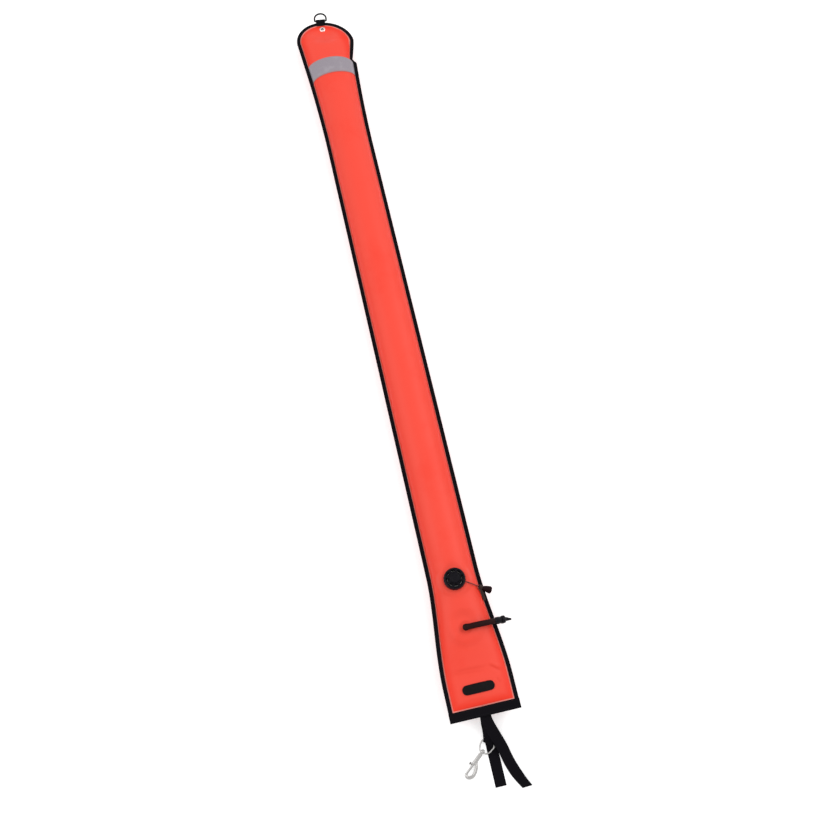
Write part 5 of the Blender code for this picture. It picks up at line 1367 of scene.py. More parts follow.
def valve(context):
    """Knurled valve body with its cord port, and the vented cap over it."""
    made, looks = shades(context)["plastic"], context.scene.buoy_fittings
    at = (0.0, VALVE_Y, VALVE_Z)

    def scallops(r, t):
        """Each of the rim's scallops is one cosine wave of the angle, faded in over the outermost 1.2 mm."""
        outer = smooth((r - VALVE_RIM + 0.0012) / 0.0008)
        return -looks.scallop * (1.0 - np.cos(VALVE_SCALLOPS * t)) / 2 * outer

    bore = COLLAR_OUTER + CLEARANCE
    profile = rounded([(bore, CLEARANCE), (VALVE_RIM - 0.0010, CLEARANCE), (VALVE_RIM, 0.0016),
                       (VALVE_RIM, VALVE_RIM_HEIGHT - 0.0014), (VALVE_RIM - 0.0010, VALVE_RIM_HEIGHT),
                       (bore + 0.0002, VALVE_RIM_HEIGHT)], 0.0009, 5)
    body = lathe("body", profile, at, segments=VALVE_SCALLOPS * 14, swell=scallops, ring=True, sharp=60.0)
    wide, (low, high) = CORD_PORT_WIDTH / 2, CORD_PORT_SPAN
    port = rounded([(-wide, low), (wide, low), (wide, high), (-wide, high)], 0.0012)
    out = heading(CORD_HEADING)
    path = np.array(at) + np.outer([bore - 0.001, VALVE_RIM + 0.002], out)
    tool = carried(path, repeated((-out[1], out[0], 0.0), 2), repeated(UP, 2), port)
    body = carved(body, [(bar("port", tool), "DIFFERENCE")])
    place("valve_rim", finished([body], 60.0), made, "hard_plastic", "bladder", "valve_body")

    floor = VALVE_RIM_HEIGHT + CLEARANCE
    plate = floor + CAP_HEIGHT
    lid = plate + CAP_PLATE
    top, inner = lid + HUB_HEIGHT, CAP_RADIUS - CAP_WALL
    pocket = plate + SPRING_POCKET_DEPTH
    profile = rounded_rows([
        (0.0, top - 0.0006, 0.0), (HUB_RADIUS * 0.55, top - 0.0006, 0.0004), (HUB_RADIUS * 0.62, top, 0.0004),
        (HUB_RADIUS, top, 0.0016), (HUB_RADIUS + 0.0002, lid + 0.0012, 0.0006),
        (HUB_RADIUS + 0.0012, lid, 0.0006), (CAP_RADIUS - 0.0025, lid, 0.0004),
        (CAP_RADIUS - 0.0018, lid + 0.0004, 0.0005),
        (CAP_RADIUS, lid - 0.0002, 0.0010), (CAP_RADIUS, floor, 0.0003), (inner, floor, 0.0003),
        (inner, plate, 0.0006), (SPRING_POCKET, plate, 0.0003), (SPRING_POCKET, pocket, 0.0003),
        (STEM_BORE, pocket, 0.0002), (STEM_BORE, pocket + STEM_BORE_DEPTH, 0.0002),
        (0.0, pocket + STEM_BORE_DEPTH, 0.0)], 5, closed=False)
    cap = lathe("cap", profile, at, segments=160, sharp=60.0)
    tools = []
    half = VENT_SHARE * math.pi / VENT_COUNT
    for k in range(VENT_COUNT):
        t = np.linspace(-half, half, 13) + 2 * math.pi * k / VENT_COUNT
        ring = np.concatenate([VENT_OUTER * arc(t), VENT_INNER * arc(t)[::-1]])
        ring = rounded(ring, np.where(np.isin(np.arange(26), [0, 12, 13, 25]), 0.0011, 0.0002), 4)
        path = np.array(at) + [[0, 0, plate - 0.001], [0, 0, lid + 0.001]]
        vent = carried(path, repeated(RIGHT, 2), repeated(INWARD, 2), ring)
        tools.append((bar("vent", vent), "DIFFERENCE"))
    cap = carved(cap, tools)
    place("valve_vented_cap", finished([cap], 40.0), made, "hard_plastic", "bladder", "valve_cap")


def pull_places():
    """The knob's neck and axis, the way out along the cord, and the seam point under the valve."""
    out = heading(CORD_HEADING)
    centre = np.array([0.0, VALVE_Y, SEAM_Z])
    axis = out * math.cos(KNOB_DIP) - np.array([0.0, 0.0, math.sin(KNOB_DIP)])
    return centre + out * KNOB_OUT + np.array([0.0, 0.0, KNOB_UP]), axis, out, centre


def pull(context):
    """Pull cord from the valve's port to the knob, the bell-shaped knob, and the tape that keeps it."""
    made = shades(context)
    neck, axis, out, centre = pull_places()
    up = np.array(UP)
    port = up * (VALVE_Z + CORD_PORT_HEIGHT - SEAM_Z)
    mouth = centre + out * CORD_MOUTH + port
    route = [centre + out * CORD_START + port, mouth]
    shares = (0.2, 0.4, 0.6, 0.8)
    route += [mouth + (neck - mouth) * k + up * CORD_BOW * math.sin(math.pi * k) for k in shares]
    route += [neck, neck + axis * (CORD_IN_KNOB / 2), neck + axis * CORD_IN_KNOB]
    cord = tube(spline(route, 12), CORD_RADIUS, 16)
    place("pull_cord_braid", bar("cord", cord), made["cord"], "cord", "pull", "pull_cord")

    profile = rounded_rows([
        (KNOB_BORE, 0.0, 0.0003), (KNOB_NECK, 0.0, 0.0006), (KNOB_NECK, 0.0080, 0.003),
        (KNOB_NECK * 1.5, KNOB_LENGTH * 0.38, 0.004), (KNOB_END * 0.86, KNOB_LENGTH * 0.66, 0.004),
        (KNOB_END, KNOB_LENGTH * 0.84, 0.002), (KNOB_END, KNOB_LENGTH, 0.0010),
        (KNOB_END - 0.0016, KNOB_LENGTH, 0.0006), (KNOB_END - 0.0022, KNOB_LENGTH - 0.0012, 0.0006),
        (KNOB_BORE * 2.6, KNOB_LENGTH - 0.0012, 0.0005), (KNOB_BORE * 2.2, KNOB_LENGTH, 0.0003),
        (KNOB_BORE * 2, KNOB_LENGTH, 0.0003), (KNOB_BORE * 2, KNOB_LENGTH * 0.62, 0.0004),
        (KNOB_BORE, KNOB_LENGTH * 0.62, 0.0004)], 6)
    knob = lathe("knob", profile, neck, axis, segments=72, ring=True, sharp=50.0)
    place("pull_bell_knob", knob, made["rubber"], "rubber", "pull", "pull_knob")

    over = neck + axis * KEEPER_ON_NECK
    side = np.array([-out[1], out[0], 0.0])
    crown = np.cross(axis, side)
    radius = KNOB_NECK + CLEARANCE + KEEPER_THICKNESS / 2 + 0.0003
    wrap = np.radians([75, 45, 15, -15, -45, -75, -100])[:, None]
    route = np.concatenate([np.array(KEEPER_PATH) + [0.0, FOOT_Y, SEAM_Z],
                            over + (crown * np.cos(wrap) - side * np.sin(wrap)) * radius])
    path = spline(route, 10)
    turn = smooth((path[:, 1] - path[0, 1]) / 0.025)[:, None]
    start = np.array([math.cos(KEEPER_TILT), 0.0, -math.sin(KEEPER_TILT)])
    share = np.sqrt(1.0 - (1.0 - np.clip((running(path) + 0.0001) / 0.0042, 0.0, 1.0)) ** 2)
    points = strap(path, start * (1.0 - turn) + axis * turn, KEEPER_WIDTH, KEEPER_THICKNESS, share)
    place("knob_keeper_tape", bar("keeper", points), made["keeper"], "webbing", "bladder", "cord_keeper")


# Oral inflator


def hose_end():
    """Place of the hose's end, the direction it points in, and the direction square to it in its plane."""
    drop = HOSE_DROOP * (HOSE_REACH - HOSE_LEVEL) ** 2
    slope = math.atan(2 * HOSE_DROOP * (HOSE_REACH - HOSE_LEVEL))
    origin = np.array([HOSE_REACH, INFLATOR_Y, INFLATOR_Z + ELBOW_HEIGHT - drop])
    return origin, (math.cos(slope), 0.0, -math.sin(slope)), (-math.sin(slope), 0.0, -math.cos(slope))


def inflator(context):
    """Elbow, hose, barrel, lock ring and mouthpiece."""
    made = shades(context)
    base = (0.0, INFLATOR_Y, INFLATOR_Z)
    under = -PANEL_THICKNESS - CLEARANCE
    start = -math.acos(ELBOW_POST / ELBOW_BALL)
    t = np.linspace(start, math.pi / 2, 25)[:-1]
    ball = ELBOW_BALL * arc(t) + [0.0, ELBOW_HEIGHT]
    low = under - ELBOW_FLANGE_THICKNESS
    foot = rounded([(0.0, low), (ELBOW_FLANGE, low), (ELBOW_FLANGE, under), (ELBOW_POST, under),
                    (ELBOW_POST, 0.0008)], 0.0004, 4, closed=False)
    profile = np.concatenate([foot, ball, [(0.0, ELBOW_HEIGHT + ELBOW_BALL)]])
    elbow = lathe("elbow", profile, base, segments=64, sharp=60.0)
    place("inflator_rubber_elbow", elbow, made["rubber"], "rubber", "bladder", "inflator_elbow")

    # The hose ends in a cup round the ball: its radius is sqrt(c^2 - x^2) behind the ball's middle. The ball,
    # the bore and everything below a plane square to the cup's lean are cut away, so the cup clears the post.
    cup, pivot = ELBOW_BALL + HOSE_CUP_WALL, np.array([0.0, INFLATOR_Y, INFLATOR_Z + ELBOW_HEIGHT])
    behind = -cup * np.cos(np.linspace(0.12, math.pi / 2, 14))[:-1]
    reach = np.concatenate([behind, np.linspace(0.0, HOSE_REACH, 72)])
    drop = HOSE_DROOP * np.maximum(0.0, reach - HOSE_LEVEL) ** 2
    path = pivot + np.stack([reach, 0.0 * reach, -drop], axis=-1)
    ends = 0.955 + 0.045 * smooth((HOSE_REACH - reach) / 0.0012 + 0.4)
    slim = cup + (HOSE_RADIUS - cup) * smooth(reach / HOSE_BLEND)
    radius = np.where(reach < 0, np.sqrt(cup ** 2 - np.minimum(reach, 0.0) ** 2), slim * ends)
    hose = bar("hose", tube(path, radius, 48))
    t = np.linspace(-math.pi / 2, math.pi / 2, 25)[1:-1]
    hollow = (ELBOW_BALL + HOSE_CUP_CLEAR) * arc(t)
    hollow = np.concatenate([[(0.0, hollow[0, 1] - 0.0001)], hollow, [(0.0, hollow[-1, 1] + 0.0001)]])
    lean = (math.sin(HOSE_CUP_LEAN), 0.0, math.cos(HOSE_CUP_LEAN))
    slab = np.array([[(-0.03, -0.03, 0), (0.03, -0.03, 0), (0.03, 0.03, 0), (-0.03, 0.03, 0)]] * 2, float)
    slab[0, :, 2], slab[1, :, 2] = -0.03, -0.0012
    inside = path[reach > 0.003]
    inside[-1] += [0.001, 0.0, 0.0]
    hose = carved(hose, [(lathe("socket", hollow, pivot), "DIFFERENCE"),
                         (bar("bore", tube(inside, HOSE_BORE, 32)), "DIFFERENCE"),
                         (bar("below", stand(slab, pivot, lean)), "DIFFERENCE")])
    place("inflator_rubber_hose", finished([hose], 40.0), made["hose"], "rubber", "hose", "inflator_hose")

    origin, axis, side = hose_end()
    grip = np.linspace(0.0, 1.0, 61)
    body = np.interp(grip, [0.0, 0.33, 0.71, 1.0], [0.97, 1.0, 0.95, 0.84]) * BARREL_RADIUS
    ribs = 0.5 - 0.5 * np.cos(2 * math.pi * BARREL_RIBS * grip)
    body = body - BARREL_RIB * ribs * smooth(grip / 0.1) * smooth((1 - grip) / 0.1)
    wall = np.stack([body, BARREL_COLLAR + grip * (BARREL_LENGTH - BARREL_COLLAR)], axis=-1)
    back = rounded([(AIR_BORE, -BARB_LENGTH), (BARB_RADIUS, -BARB_LENGTH), (BARB_RADIUS, CLEARANCE),
                    (HOSE_RADIUS, CLEARANCE), (HOSE_RADIUS + 0.0001, 0.0030), (wall[0, 0], wall[0, 1])],
                   0.0004, 4, closed=False)
    front = rounded([(wall[-1, 0], BARREL_LENGTH), (BARREL_CHAMBER, BARREL_LENGTH),
                     (BARREL_CHAMBER, BARREL_FLOOR), (AIR_BORE, BARREL_FLOOR)], 0.0004, 4, closed=False)
    profile = np.concatenate([back[:-1], wall, front[1:]])
    barrel = lathe("barrel", profile, origin, axis, side, 72, ring=True, sharp=50.0)
    place("inflator_grip_barrel", barrel, made["plastic"], "hard_plastic", "hose", "inflator_barrel")

    def lobes(r, t):
        """Finger lobes: the positive half of a cosine of the angle, to the power 0.7, outside the stem."""
        lobe = LOCK_RING_LOBE * np.maximum(0.0, np.cos(LOCK_RING_LOBES * t)) ** 0.7
        return lobe * smooth((r - NOZZLE_STEM - 0.0006) / 0.0014)

    bore, begin = NOZZLE_STEM + NOZZLE_CLEAR, BARREL_LENGTH + RING_GAP
    end = begin + LOCK_RING_LENGTH
    profile = rounded_rows([
        (bore, begin, 0.0003), (LOCK_RING_RADIUS - 0.0010, begin, 0.0006),
        (LOCK_RING_RADIUS, begin + 0.0012, 0.0008), (LOCK_RING_RADIUS, end - 0.0024, 0.0012),
        (bore + 0.0012, end - 0.0002, 0.0008), (bore, end, 0.0002)], 6)
    lock = lathe("lock", profile, origin, axis, side, 144, lobes, ring=True, sharp=50.0)
    place("inflator_lock_ring", lock, made["plastic"], "hard_plastic", "lock_ring", "lock_ring")

    stem = BARREL_FLOOR + CLEARANCE + CHECK_SPRING_LENGTH + CLEARANCE + CHECK_SEAL_THICKNESS + CLEARANCE
    mouth = end + RING_GAP
    profile = rounded_rows([
        (NOZZLE_BORE, stem, 0.0003), (NOZZLE_STEM, stem, 0.0004), (NOZZLE_STEM, mouth + 0.0012, 0.001),
        (NOZZLE_STEM * 0.80, mouth + NOZZLE_MOUTH * 0.42, 0.002),
        (NOZZLE_STEM * 0.66, mouth + NOZZLE_MOUTH * 0.60, 0.002),
        (NOZZLE_TIP, mouth + NOZZLE_MOUTH - 0.0006, 0.0006), (NOZZLE_BORE, mouth + NOZZLE_MOUTH, 0.0002)], 6)
    points = turned(profile, 72)
    points[..., 1] -= NOZZLE_SLANT * np.maximum(points[..., 2] - mouth - 0.0012, 0.0)
    nozzle = solid("nozzle", stand(points, origin, axis, side), 50.0, rows_close=True, columns_close=True)
    place("inflator_mouthpiece", nozzle, made["plastic"], "hard_plastic", "mouthpiece", "mouthpiece")


# Foot straps


def level(layer):
    """Centre height of a layer of the sewn strap stack, counted down from the foot band."""
    return SEAM_Z - SLOT_HALF - FOOT_BAND_THICKNESS - CLEARANCE - STRAP_THICKNESS / 2 - layer * STRAP_PITCH


def free_strap(name, points, per_span, widths, shade, node, slant=0.0):
    """A wrapping strap through its route's points, with its width square to the route in plan unless given.

    Its last 20 mm are sheared by an eased step of the running length, so that its end is cut at a slant.
    """
    path = spline(np.array(points) * 0.001, per_span) + [0.0, FOOT_Y, 0.0]
    if widths is None:
        flat = tangents(path)
        widths = np.stack([-flat[:, 1], flat[:, 0], 0 * flat[:, 0]], axis=-1)
        widths = widths * np.sign(widths[:, :1] + 1e-9)
    else:
        widths = spline(widths, per_span)
    points = strap(path, widths, STRAP_WIDTH, STRAP_THICKNESS)
    run = running(path)
    shear = slant * smooth((run - run[-1] + 0.020) / 0.020)
    share = webbing_section(STRAP_WIDTH, STRAP_THICKNESS)[:, 0] / (STRAP_WIDTH / 2)
    points = points + (shear[:, None] * share)[..., None] * tangents(path)[:, None]
    place(name, bar(name, points), shade, "webbing", "straps", node)


def straps(context):
    """Sewn strap tails under the foot band, the two wrapping straps, and the loop that holds the snap."""
    made = shades(context)
    webbing, mm = made["webbing"], 1000.0
    start = FOOT_Y + STRAP_COVERED + 2 * CLEARANCE
    layers, rows = [], []
    for layer in range(4):
        path = np.linspace((STRAP_X, start, level(layer)), (STRAP_X, start + STRAP_TAIL, level(layer)), 8)
        points = strap(path, repeated(RIGHT, 8), STRAP_WIDTH, STRAP_THICKNESS)
        layers.append(grid_mesh("layer", points, columns_close=True, caps=True))
    place("strap_sewn_tails", finished(layers), webbing, "webbing", "bladder", "strap_tails")
    sewn = context.scene.buoy_webbing
    low = level(3) - STRAP_THICKNESS / 2
    corner_x, corner_y = STRAP_WIDTH * 0.38, (start + 0.003, start + STRAP_TAIL - 0.003)
    box = np.array([(-corner_x, corner_y[0]), (corner_x, corner_y[0]), (corner_x, corner_y[1]),
                    (-corner_x, corner_y[1]), (-corner_x, corner_y[0]), (corner_x, corner_y[1])])
    for a, b in ((0, 1), (1, 2), (2, 3), (3, 0), (0, 2), (1, 3)):
        line = np.array([(*(box[end] + [STRAP_X, 0.0]), low) for end in (a, b)])
        rows.append(stitch_row(line, -1.0, sewn, 1.0, 0.8))
    place("strap_box_stitches", finished(rows), made["thread"], "webbing", "bladder")

    first = (STRAP_X * mm, STRAP_COVERED * mm)
    floor = FLOOR_LIFT * mm
    free_strap("wrap_strap_left", [
        (*first, level(3) * mm), (-1.0, -8, 25.0), (-1.2, -19, 16.6), (-1.3, -29, 7.8), (-1.4, -36.5, 2.5),
        (-1.4, -43.5, 0.9), (-1.4, -52, floor), (-1.4, -82, floor), (-1.4, -112, floor), (-1.4, -142, floor)],
        10, None, webbing, "wrap_strap_a")
    roll = math.radians(38)   # of the right strap at its far end
    free_strap("wrap_strap_right", [
        (*first, level(0) * mm), (0.2, -8, 32.2), (3.6, -22, 28.8), (9.2, -38, 22.2), (15.4, -55, 15.4),
        (20.7, -72, 9.4), (24.8, -90, 4.4), (29.6, -106, 2.6), (35.2, -121.5, 3.6), (42.6, -138, 6.8),
        (51, -153.5, 8.4)], 10,
        [(1, 0, 0), (1, 0, 0), (0.96, 0.28, 0), (0.955, 0.30, 0), (0.95, 0.31, 0), (0.95, 0.31, 0),
         (0.95, 0.31, 0), (0.94, 0.32, 0.05), (0.90, 0.32, 0.22), (0.80, 0.31, 0.50),
         (0.74 * math.cos(roll) / 0.79, 0.28, math.sin(roll))], webbing, "wrap_strap_b", STRAP_SLANT)

    forward = heading(BAIL_HEADING)
    across = np.array([forward[1], -forward[0], 0.0])
    across = across * np.sign(across[0])
    radius = BAIL_WIRE + CLEARANCE + STRAP_THICKNESS / 2 + 0.0001
    centre = np.array([BAR_CENTRE[0], BAR_CENTRE[1] + FOOT_Y, SNAP_HEIGHT])
    t = np.linspace(math.pi / 2, -math.pi / 2, 25)[:, None]
    wrap = centre + radius * (forward * np.cos(t) + np.array(UP) * np.sin(t))
    away = np.array([0.0, FOOT_Y, 0.0])
    upper = spline([(STRAP_X, STRAP_COVERED, level(1)), (-0.0015, -0.008, 0.0296), (-0.0030, -0.021, 0.0241),
                    (-0.0044, -0.033, 0.0165), (-0.0056, -0.0440, 0.0103), tuple(wrap[0] - away)], 8) + away
    lower = spline([tuple(wrap[-1] - away), (-0.0056, -0.0450, 0.0057), (-0.0044, -0.034, 0.0122),
                    (-0.0030, -0.021, 0.0213), (-0.0015, -0.008, 0.0276),
                    (STRAP_X, STRAP_COVERED, level(2))], 8)
    path = np.concatenate([upper[:-1], wrap, lower[1:] + away])
    share = smooth((FOOT_Y - path[:, 1]) / 0.040)[:, None]
    points = strap(path, np.array(RIGHT) * (1 - share) + across * share, STRAP_WIDTH, STRAP_THICKNESS)
    place("snap_loop_webbing", bar("loop", points), webbing, "webbing", "straps", "snap_loop_strap")


# Bolt snap


def snap(context):
    """Bail on the strap loop, swivelling hook, gate bolt and its thumb knob."""
    steel = shades(context)["steel"]
    centre = np.array([BAR_CENTRE[0], BAR_CENTRE[1] + FOOT_Y, SNAP_HEIGHT])
    bail_side, axis, down = heading(BAIL_HEADING), heading(HOOK_HEADING), (0.0, 0.0, -1.0)
    along, side = BOSS_OFFSET
    corner, reach = BAIL_CORNER, BAIL_HALF + BAIL_CORNER
    turn = [(corner * 1.7, reach), (corner, reach), (corner * 0.29, BAIL_HALF + corner * 0.71),
            (0.0, BAIL_HALF)]
    back = [(x, -y) for x, y in turn[::-1]]
    route = [*BAIL_ARMS[0], *turn, (0.0, 0.0), *back, *BAIL_ARMS[1]]
    path = rounded(np.column_stack([route, np.zeros(len(route))]), 0.0018, 5, closed=False)
    wire = stand(tube(path, BAIL_WIRE, 28), centre, side=bail_side)
    boss = stand([(along, side, 0.0)], centre, side=bail_side)[0]
    half = BOSS_LENGTH / 2

    def barrel(name, profile, segments=64, radius=0.0003):
        """A profile along the snap's axis, turned about it, with its corners rounded."""
        profile = rounded(profile, radius, 4, closed=False)
        return lathe(name, profile, boss, axis, down, segments, sharp=45.0)

    def plug(radius, low, high):
        """A cylinder along the snap's axis."""
        return barrel("plug", [(0.0, low), (radius, low), (radius, high), (0.0, high)], 48, 0.0)

    eye = barrel("eye", [(0.0, -half), (BOSS_RADIUS, -half), (BOSS_RADIUS, half), (0.0, half)], 64, 0.0008)
    bail = carved(bar("bail", wire), [
        (eye, "UNION"), (plug(BOSS_BORE, -0.0045, 0.012), "DIFFERENCE"),
        (plug(POST_HEAD + 0.0004, -0.0085, -half), "DIFFERENCE")])
    place("snap_wire_bail", finished([bail], 45.0), steel, "steel", "bail", "snap_bail")

    neck = half + 0.0004
    head = -neck - POST_HEAD_LENGTH
    shank = barrel("shank", [
        (0.0, head), (POST_HEAD - 0.0006, head), (POST_HEAD, head + 0.0008), (POST_HEAD, -neck),
        (POST_RADIUS, -neck), (POST_RADIUS, neck), (SNAP_BARREL - 0.0010, neck),
        (SNAP_BARREL - 0.0010, BARREL_START), (SNAP_BARREL, BARREL_START + 0.0014),
        (SNAP_BARREL, BARREL_END - 0.0010), (SNAP_BARREL - 0.0006, BARREL_END), (0.0, BARREL_END)], 72)
    ahead, aside = np.array([*HOOK_BEND, (HOOK_TIP * 1000, 0.0)]).T * 0.001
    curve = spline(np.stack([0.0 * ahead, aside, ahead], axis=-1), 8)
    thick = HOOK_WIRE + HOOK_SWELL * np.sin(np.linspace(0.0, math.pi, len(curve))) ** 2
    hook = stand(tube(curve, thick, 28, up=(1.0, 0.0, 0.0)), boss, axis, down)
    slot_half, slot_start = THUMB_STEM + 0.0004, THUMB_AT - GATE_TRAVEL - THUMB_STEM - 0.0006
    slot_end = BARREL_END + 0.002
    outline = rounded([(-0.008, slot_start), (0.0, slot_start), (0.0, slot_end), (-0.008, slot_end)], 0.0004)
    block = np.stack([np.column_stack([np.full(len(outline), x), outline]) for x in (-slot_half, slot_half)])
    slot = bar("slot", stand(block, boss, axis, down))
    body = carved(shank, [(bar("hook", hook), "UNION"),
                          (plug(SNAP_BORE, SNAP_BORE_START, BARREL_END + 0.004), "DIFFERENCE"),
                          (slot, "DIFFERENCE")])
    place("snap_swivel_hook", finished([body], 45.0), steel, "steel", "hook", "snap_hook")

    tip = HOOK_TIP - CLEARANCE
    gate = barrel("gate", [(0.0, GATE_TAIL), (GATE_RADIUS, GATE_TAIL), (GATE_RADIUS, tip - 0.0008),
                           (GATE_RADIUS - 0.0008, tip), (0.0, tip)], 56)
    place("snap_gate_bolt", gate, steel, "steel", "gate", "gate_bolt")
    seat = GATE_RADIUS - 0.0012 + CLEARANCE
    profile = rounded_rows([
        (0.0, seat, 0.0), (THUMB_STEM, seat, 0.0003), (THUMB_STEM, THUMB_REACH - 0.0030, 0.0006),
        (THUMB_RADIUS, THUMB_REACH - 0.0026, 0.0005), (THUMB_RADIUS, THUMB_REACH - 0.0004, 0.0006),
        (THUMB_RADIUS * 0.6, THUMB_REACH, 0.0008), (0.0, THUMB_REACH, 0.0)], 5, closed=False)

    def knurls(r, t):
        """Knurls round the knob's edge: cosine waves of the angle, faded in over the outermost 0.6 mm."""
        wave = 0.5 - 0.5 * np.cos(THUMB_KNURLS * t)
        return -THUMB_KNURL * wave * smooth((r - THUMB_RADIUS + 0.0006) / 0.0005)

    outward = (axis[1], -axis[0], 0.0)
    thumb = lathe("thumb", profile, boss + axis * THUMB_AT, outward, axis, 96, knurls, sharp=50.0)
    place("snap_thumb_knob", thumb, shades(context)["thumb"], "steel", "gate", "gate_thumb_knob")


def inner_parts(context):
    """Finishes for the solids that stay as they are: valve base, poppet, seals and springs."""
    made = shades(context)
    for node, shade in (("valve_base", "plastic"), ("poppet", "plastic"), ("poppet_seal", "silicone"),
                        ("check_seal", "silicone"), ("valve_spring", "steel"), ("check_spring", "steel"),
                        ("gate_spring", "steel")):
        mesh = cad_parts[node].data
        mesh.materials.clear()
        mesh.materials.append(made[shade])


# Stage

SOFTBOX_SIZE = (1.6, 3.0)
SOFTBOX_HEIGHT = 2.3
CAMERA_PLACE = (-0.11979, -0.93028, 2.16523)
CAMERA_TURN = ((0.97497045, 0.21466725, -0.05788436), (-0.22196761, 0.92484476, -0.30885684),
               (-0.01276741, 0.31397475, 0.94934549))   # its right, up and back directions, as columns


def background_rays(tree):
    """1 for camera, glossy and transmission rays, and 0 for the rays that light the object."""
    ray = add(tree, "ShaderNodeLightPath").outputs
    return calc(tree, "MAXIMUM", calc(tree, "MAXIMUM", ray["Is Camera Ray"], ray["Is Glossy Ray"]),
                ray["Is Transmission Ray"])


def floor_shade(colour):
    """Pale floor that keeps the shadow: to the camera and in mirrors it also glows a little."""
    shade, tree, shader = material("pale_floor")
    darker = tuple(0.985 * c for c in colour)
    feed(shader, {
        "Base Color": mixed(tree, noise(tree, object_vector(tree), 3.0, 2.0), colour, darker),
        "Roughness": 0.9,
        "Specular IOR Level": 0.1,
        "Emission Color": (1.0, 1.0, 1.0),
        "Emission Strength": calc(tree, "MULTIPLY", background_rays(tree), 0.45)})
    return shade


def stage(context):
    """Floor, a sky that is brighter overhead, a softbox on each side, and the camera at the photo's angle."""
    looks, scene = context.scene.buoy_stage, context.scene
    corners = np.array([[(-6.0, -6.0, 0.0), (6.0, -6.0, 0.0)], [(-6.0, 6.0, 0.0), (6.0, 6.0, 0.0)]])
    mesh = grid_mesh("floor", corners, flip=True)
    mesh.materials.append(floor_shade(looks.floor))
    floor = linked("floor", mesh)
    if mesh.polygons[0].normal.z < 0:
        mesh.flip_normals()

    world = bpy.data.worlds.new("soft_sky")
    world.use_nodes = True
    scene.world = world
    tree = world.node_tree
    ray = add(tree, "ShaderNodeTexCoord").outputs["Generated"]
    height = add(tree, "ShaderNodeSeparateXYZ", {0: ray}).outputs[2]
    light = remap(tree, height, -0.1, 0.9, looks.horizon, looks.sky)
    strength = add(tree, "ShaderNodeMix", {0: background_rays(tree), 2: light, 3: 1.0}).outputs[0]
    feed(tree.nodes["Background"], {"Color": (1.0, 1.0, 1.0), "Strength": strength})

    for name, power, x in (("key_softbox", looks.key, 2.0), ("fill_softbox", looks.fill, -2.2)):
        lamp = bpy.data.lights.new(name, "AREA")
        lamp.shape = "RECTANGLE"
        lamp.size, lamp.size_y = SOFTBOX_SIZE
        lamp.energy = power
        tilt = Matrix.Rotation(math.atan2(x, SOFTBOX_HEIGHT), 4, "Y")
        linked(name, lamp).matrix_world = Matrix.Translation((x, 0.2, SOFTBOX_HEIGHT)) @ tilt

    data = bpy.data.cameras.new("camera")
    data.lens = looks.lens
    data.sensor_width = 36.0
    data.clip_start, data.clip_end = 0.05, 60.0
    camera = linked("camera", data)
    camera.matrix_world = Matrix([(*CAMERA_TURN[k], CAMERA_PLACE[k]) for k in range(3)] + [(0, 0, 0, 1)])
    scene.camera = camera
    scene.view_settings.view_transform = "Standard"


# Operators and panel


class BUOY_OT_stage(Operator):
    """Makes the floor, the light and the camera"""
    bl_idname = "buoy.stage"
    bl_label = "Stage"
    bl_options = {"REGISTER", "UNDO"}

    def execute(self, context):
        stage(context)
        return {"FINISHED"}


class BUOY_OT_skins(Operator):
    """Makes the front and back skins with their welds and folds"""
    bl_idname = "buoy.skins"
    bl_label = "Tube skins"
    bl_options = {"REGISTER", "UNDO"}

    def execute(self, context):
        tube_skins(context)
        return {"FINISHED"}


class BUOY_OT_binding(Operator):
    """Makes the edge binding, the foot band and their stitches"""
    bl_idname = "buoy.binding"
    bl_label = "Bindings"
    bl_options = {"REGISTER", "UNDO"}

    def execute(self, context):
        binding(context)
        return {"FINISHED"}


class BUOY_OT_tape(Operator):
    """Makes the grey band across the head"""
    bl_idname = "buoy.tape"
    bl_label = "Reflective tape"
    bl_options = {"REGISTER", "UNDO"}

    def execute(self, context):
        reflective_tape(context)
        return {"FINISHED"}


class BUOY_OT_badge(Operator):
    """Makes the plain capsule patch near the foot"""
    bl_idname = "buoy.badge"
    bl_label = "Badge"
    bl_options = {"REGISTER", "UNDO"}

    def execute(self, context):
        badge(context)
        return {"FINISHED"}


class BUOY_OT_head(Operator):
    """Makes the eyelet, its washer, the D-ring and its tab"""
    bl_idname = "buoy.head"
    bl_label = "Head fittings"
    bl_options = {"REGISTER", "UNDO"}

    def execute(self, context):
        head_fittings(context)
        return {"FINISHED"}


class BUOY_OT_valve(Operator):
    """Makes the valve's knurled rim and vented cap"""
    bl_idname = "buoy.valve"
    bl_label = "Dump valve"
    bl_options = {"REGISTER", "UNDO"}

    def execute(self, context):
        valve(context)
        return {"FINISHED"}


class BUOY_OT_pull(Operator):
    """Makes the pull cord, its knob and its keeper"""
    bl_idname = "buoy.pull"
    bl_label = "Pull cord"
    bl_options = {"REGISTER", "UNDO"}

    def execute(self, context):
        pull(context)
        return {"FINISHED"}


class BUOY_OT_inflator(Operator):
    """Makes the elbow, hose, barrel, lock ring and mouthpiece"""
    bl_idname = "buoy.inflator"
    bl_label = "Oral inflator"
    bl_options = {"REGISTER", "UNDO"}

    def execute(self, context):
        inflator(context)
        return {"FINISHED"}


class BUOY_OT_straps(Operator):
    """Makes the sewn tails, the wrapping straps and the snap loop"""
    bl_idname = "buoy.straps"
    bl_label = "Foot straps"
    bl_options = {"REGISTER", "UNDO"}

    def execute(self, context):
        straps(context)
        return {"FINISHED"}


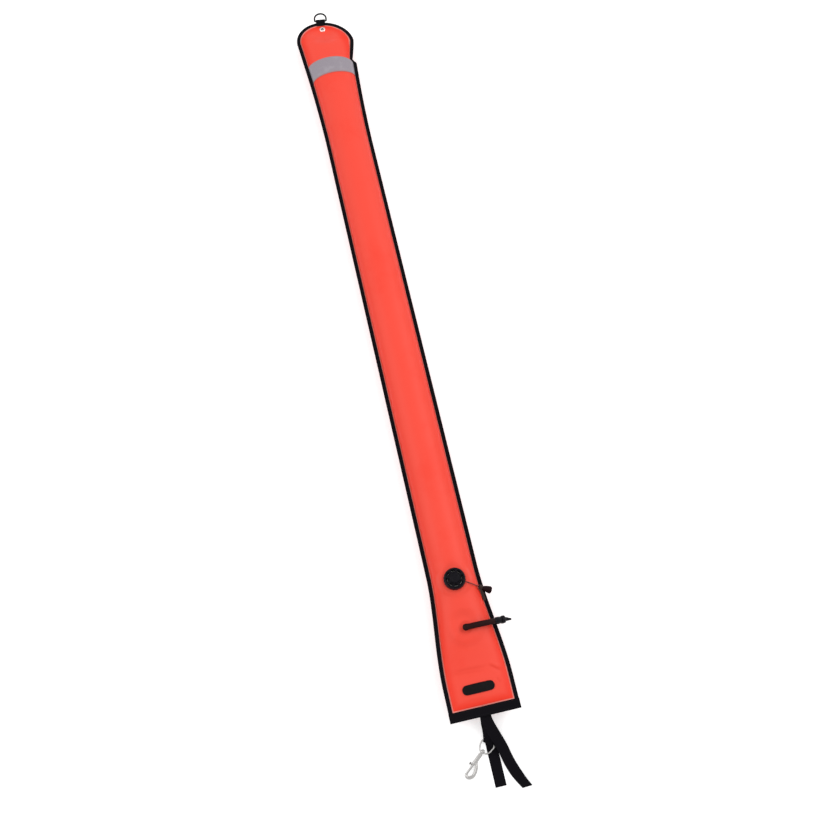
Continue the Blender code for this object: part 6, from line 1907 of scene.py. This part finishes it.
class BUOY_OT_snap(Operator):
    """Makes the bail, the swivelling hook, the gate bolt and its knob"""
    bl_idname = "buoy.snap"
    bl_label = "Bolt snap"
    bl_options = {"REGISTER", "UNDO"}

    def execute(self, context):
        snap(context)
        return {"FINISHED"}


class BUOY_OT_inner(Operator):
    """Gives the solids inside the fittings their finishes"""
    bl_idname = "buoy.inner"
    bl_label = "Inner parts"
    bl_options = {"REGISTER", "UNDO"}

    def execute(self, context):
        inner_parts(context)
        return {"FINISHED"}


OPERATORS = [BUOY_OT_stage, BUOY_OT_skins, BUOY_OT_binding, BUOY_OT_tape,
             BUOY_OT_badge, BUOY_OT_head, BUOY_OT_valve, BUOY_OT_pull,
             BUOY_OT_inflator, BUOY_OT_straps, BUOY_OT_snap, BUOY_OT_inner]


class BUOY_PT_sidebar(Panel):
    bl_idname = "BUOY_PT_sidebar"
    bl_label = "Surface marker buoy"
    bl_space_type = "VIEW_3D"
    bl_region_type = "UI"
    bl_category = "Buoy"

    def draw(self, context):
        for group in (context.scene.buoy_skin, context.scene.buoy_webbing, context.scene.buoy_fittings,
                      context.scene.buoy_stage):
            for key in group.bl_rna.properties.keys():
                if key not in ("rna_type", "name"):
                    self.layout.prop(group, key)
        for kind in OPERATORS:
            self.layout.operator(kind.bl_idname)


CLASSES = [SkinLooks, WebbingLooks, FittingLooks, StageLooks, *OPERATORS, BUOY_PT_sidebar]


def register():
    for kind in CLASSES:
        bpy.utils.register_class(kind)
    bpy.types.Scene.buoy_skin = PointerProperty(type=SkinLooks)
    bpy.types.Scene.buoy_webbing = PointerProperty(type=WebbingLooks)
    bpy.types.Scene.buoy_fittings = PointerProperty(type=FittingLooks)
    bpy.types.Scene.buoy_stage = PointerProperty(type=StageLooks)


def unregister():
    for name in ("buoy_stage", "buoy_fittings", "buoy_webbing", "buoy_skin"):
        delattr(bpy.types.Scene, name)
    for kind in reversed(CLASSES):
        bpy.utils.unregister_class(kind)


def main():
    register()
    for kind in OPERATORS:
        group, name = kind.bl_idname.split(".")
        getattr(getattr(bpy.ops, group), name)()
    bpy.context.view_layer.update()


if __name__ == "__main__":
    main()
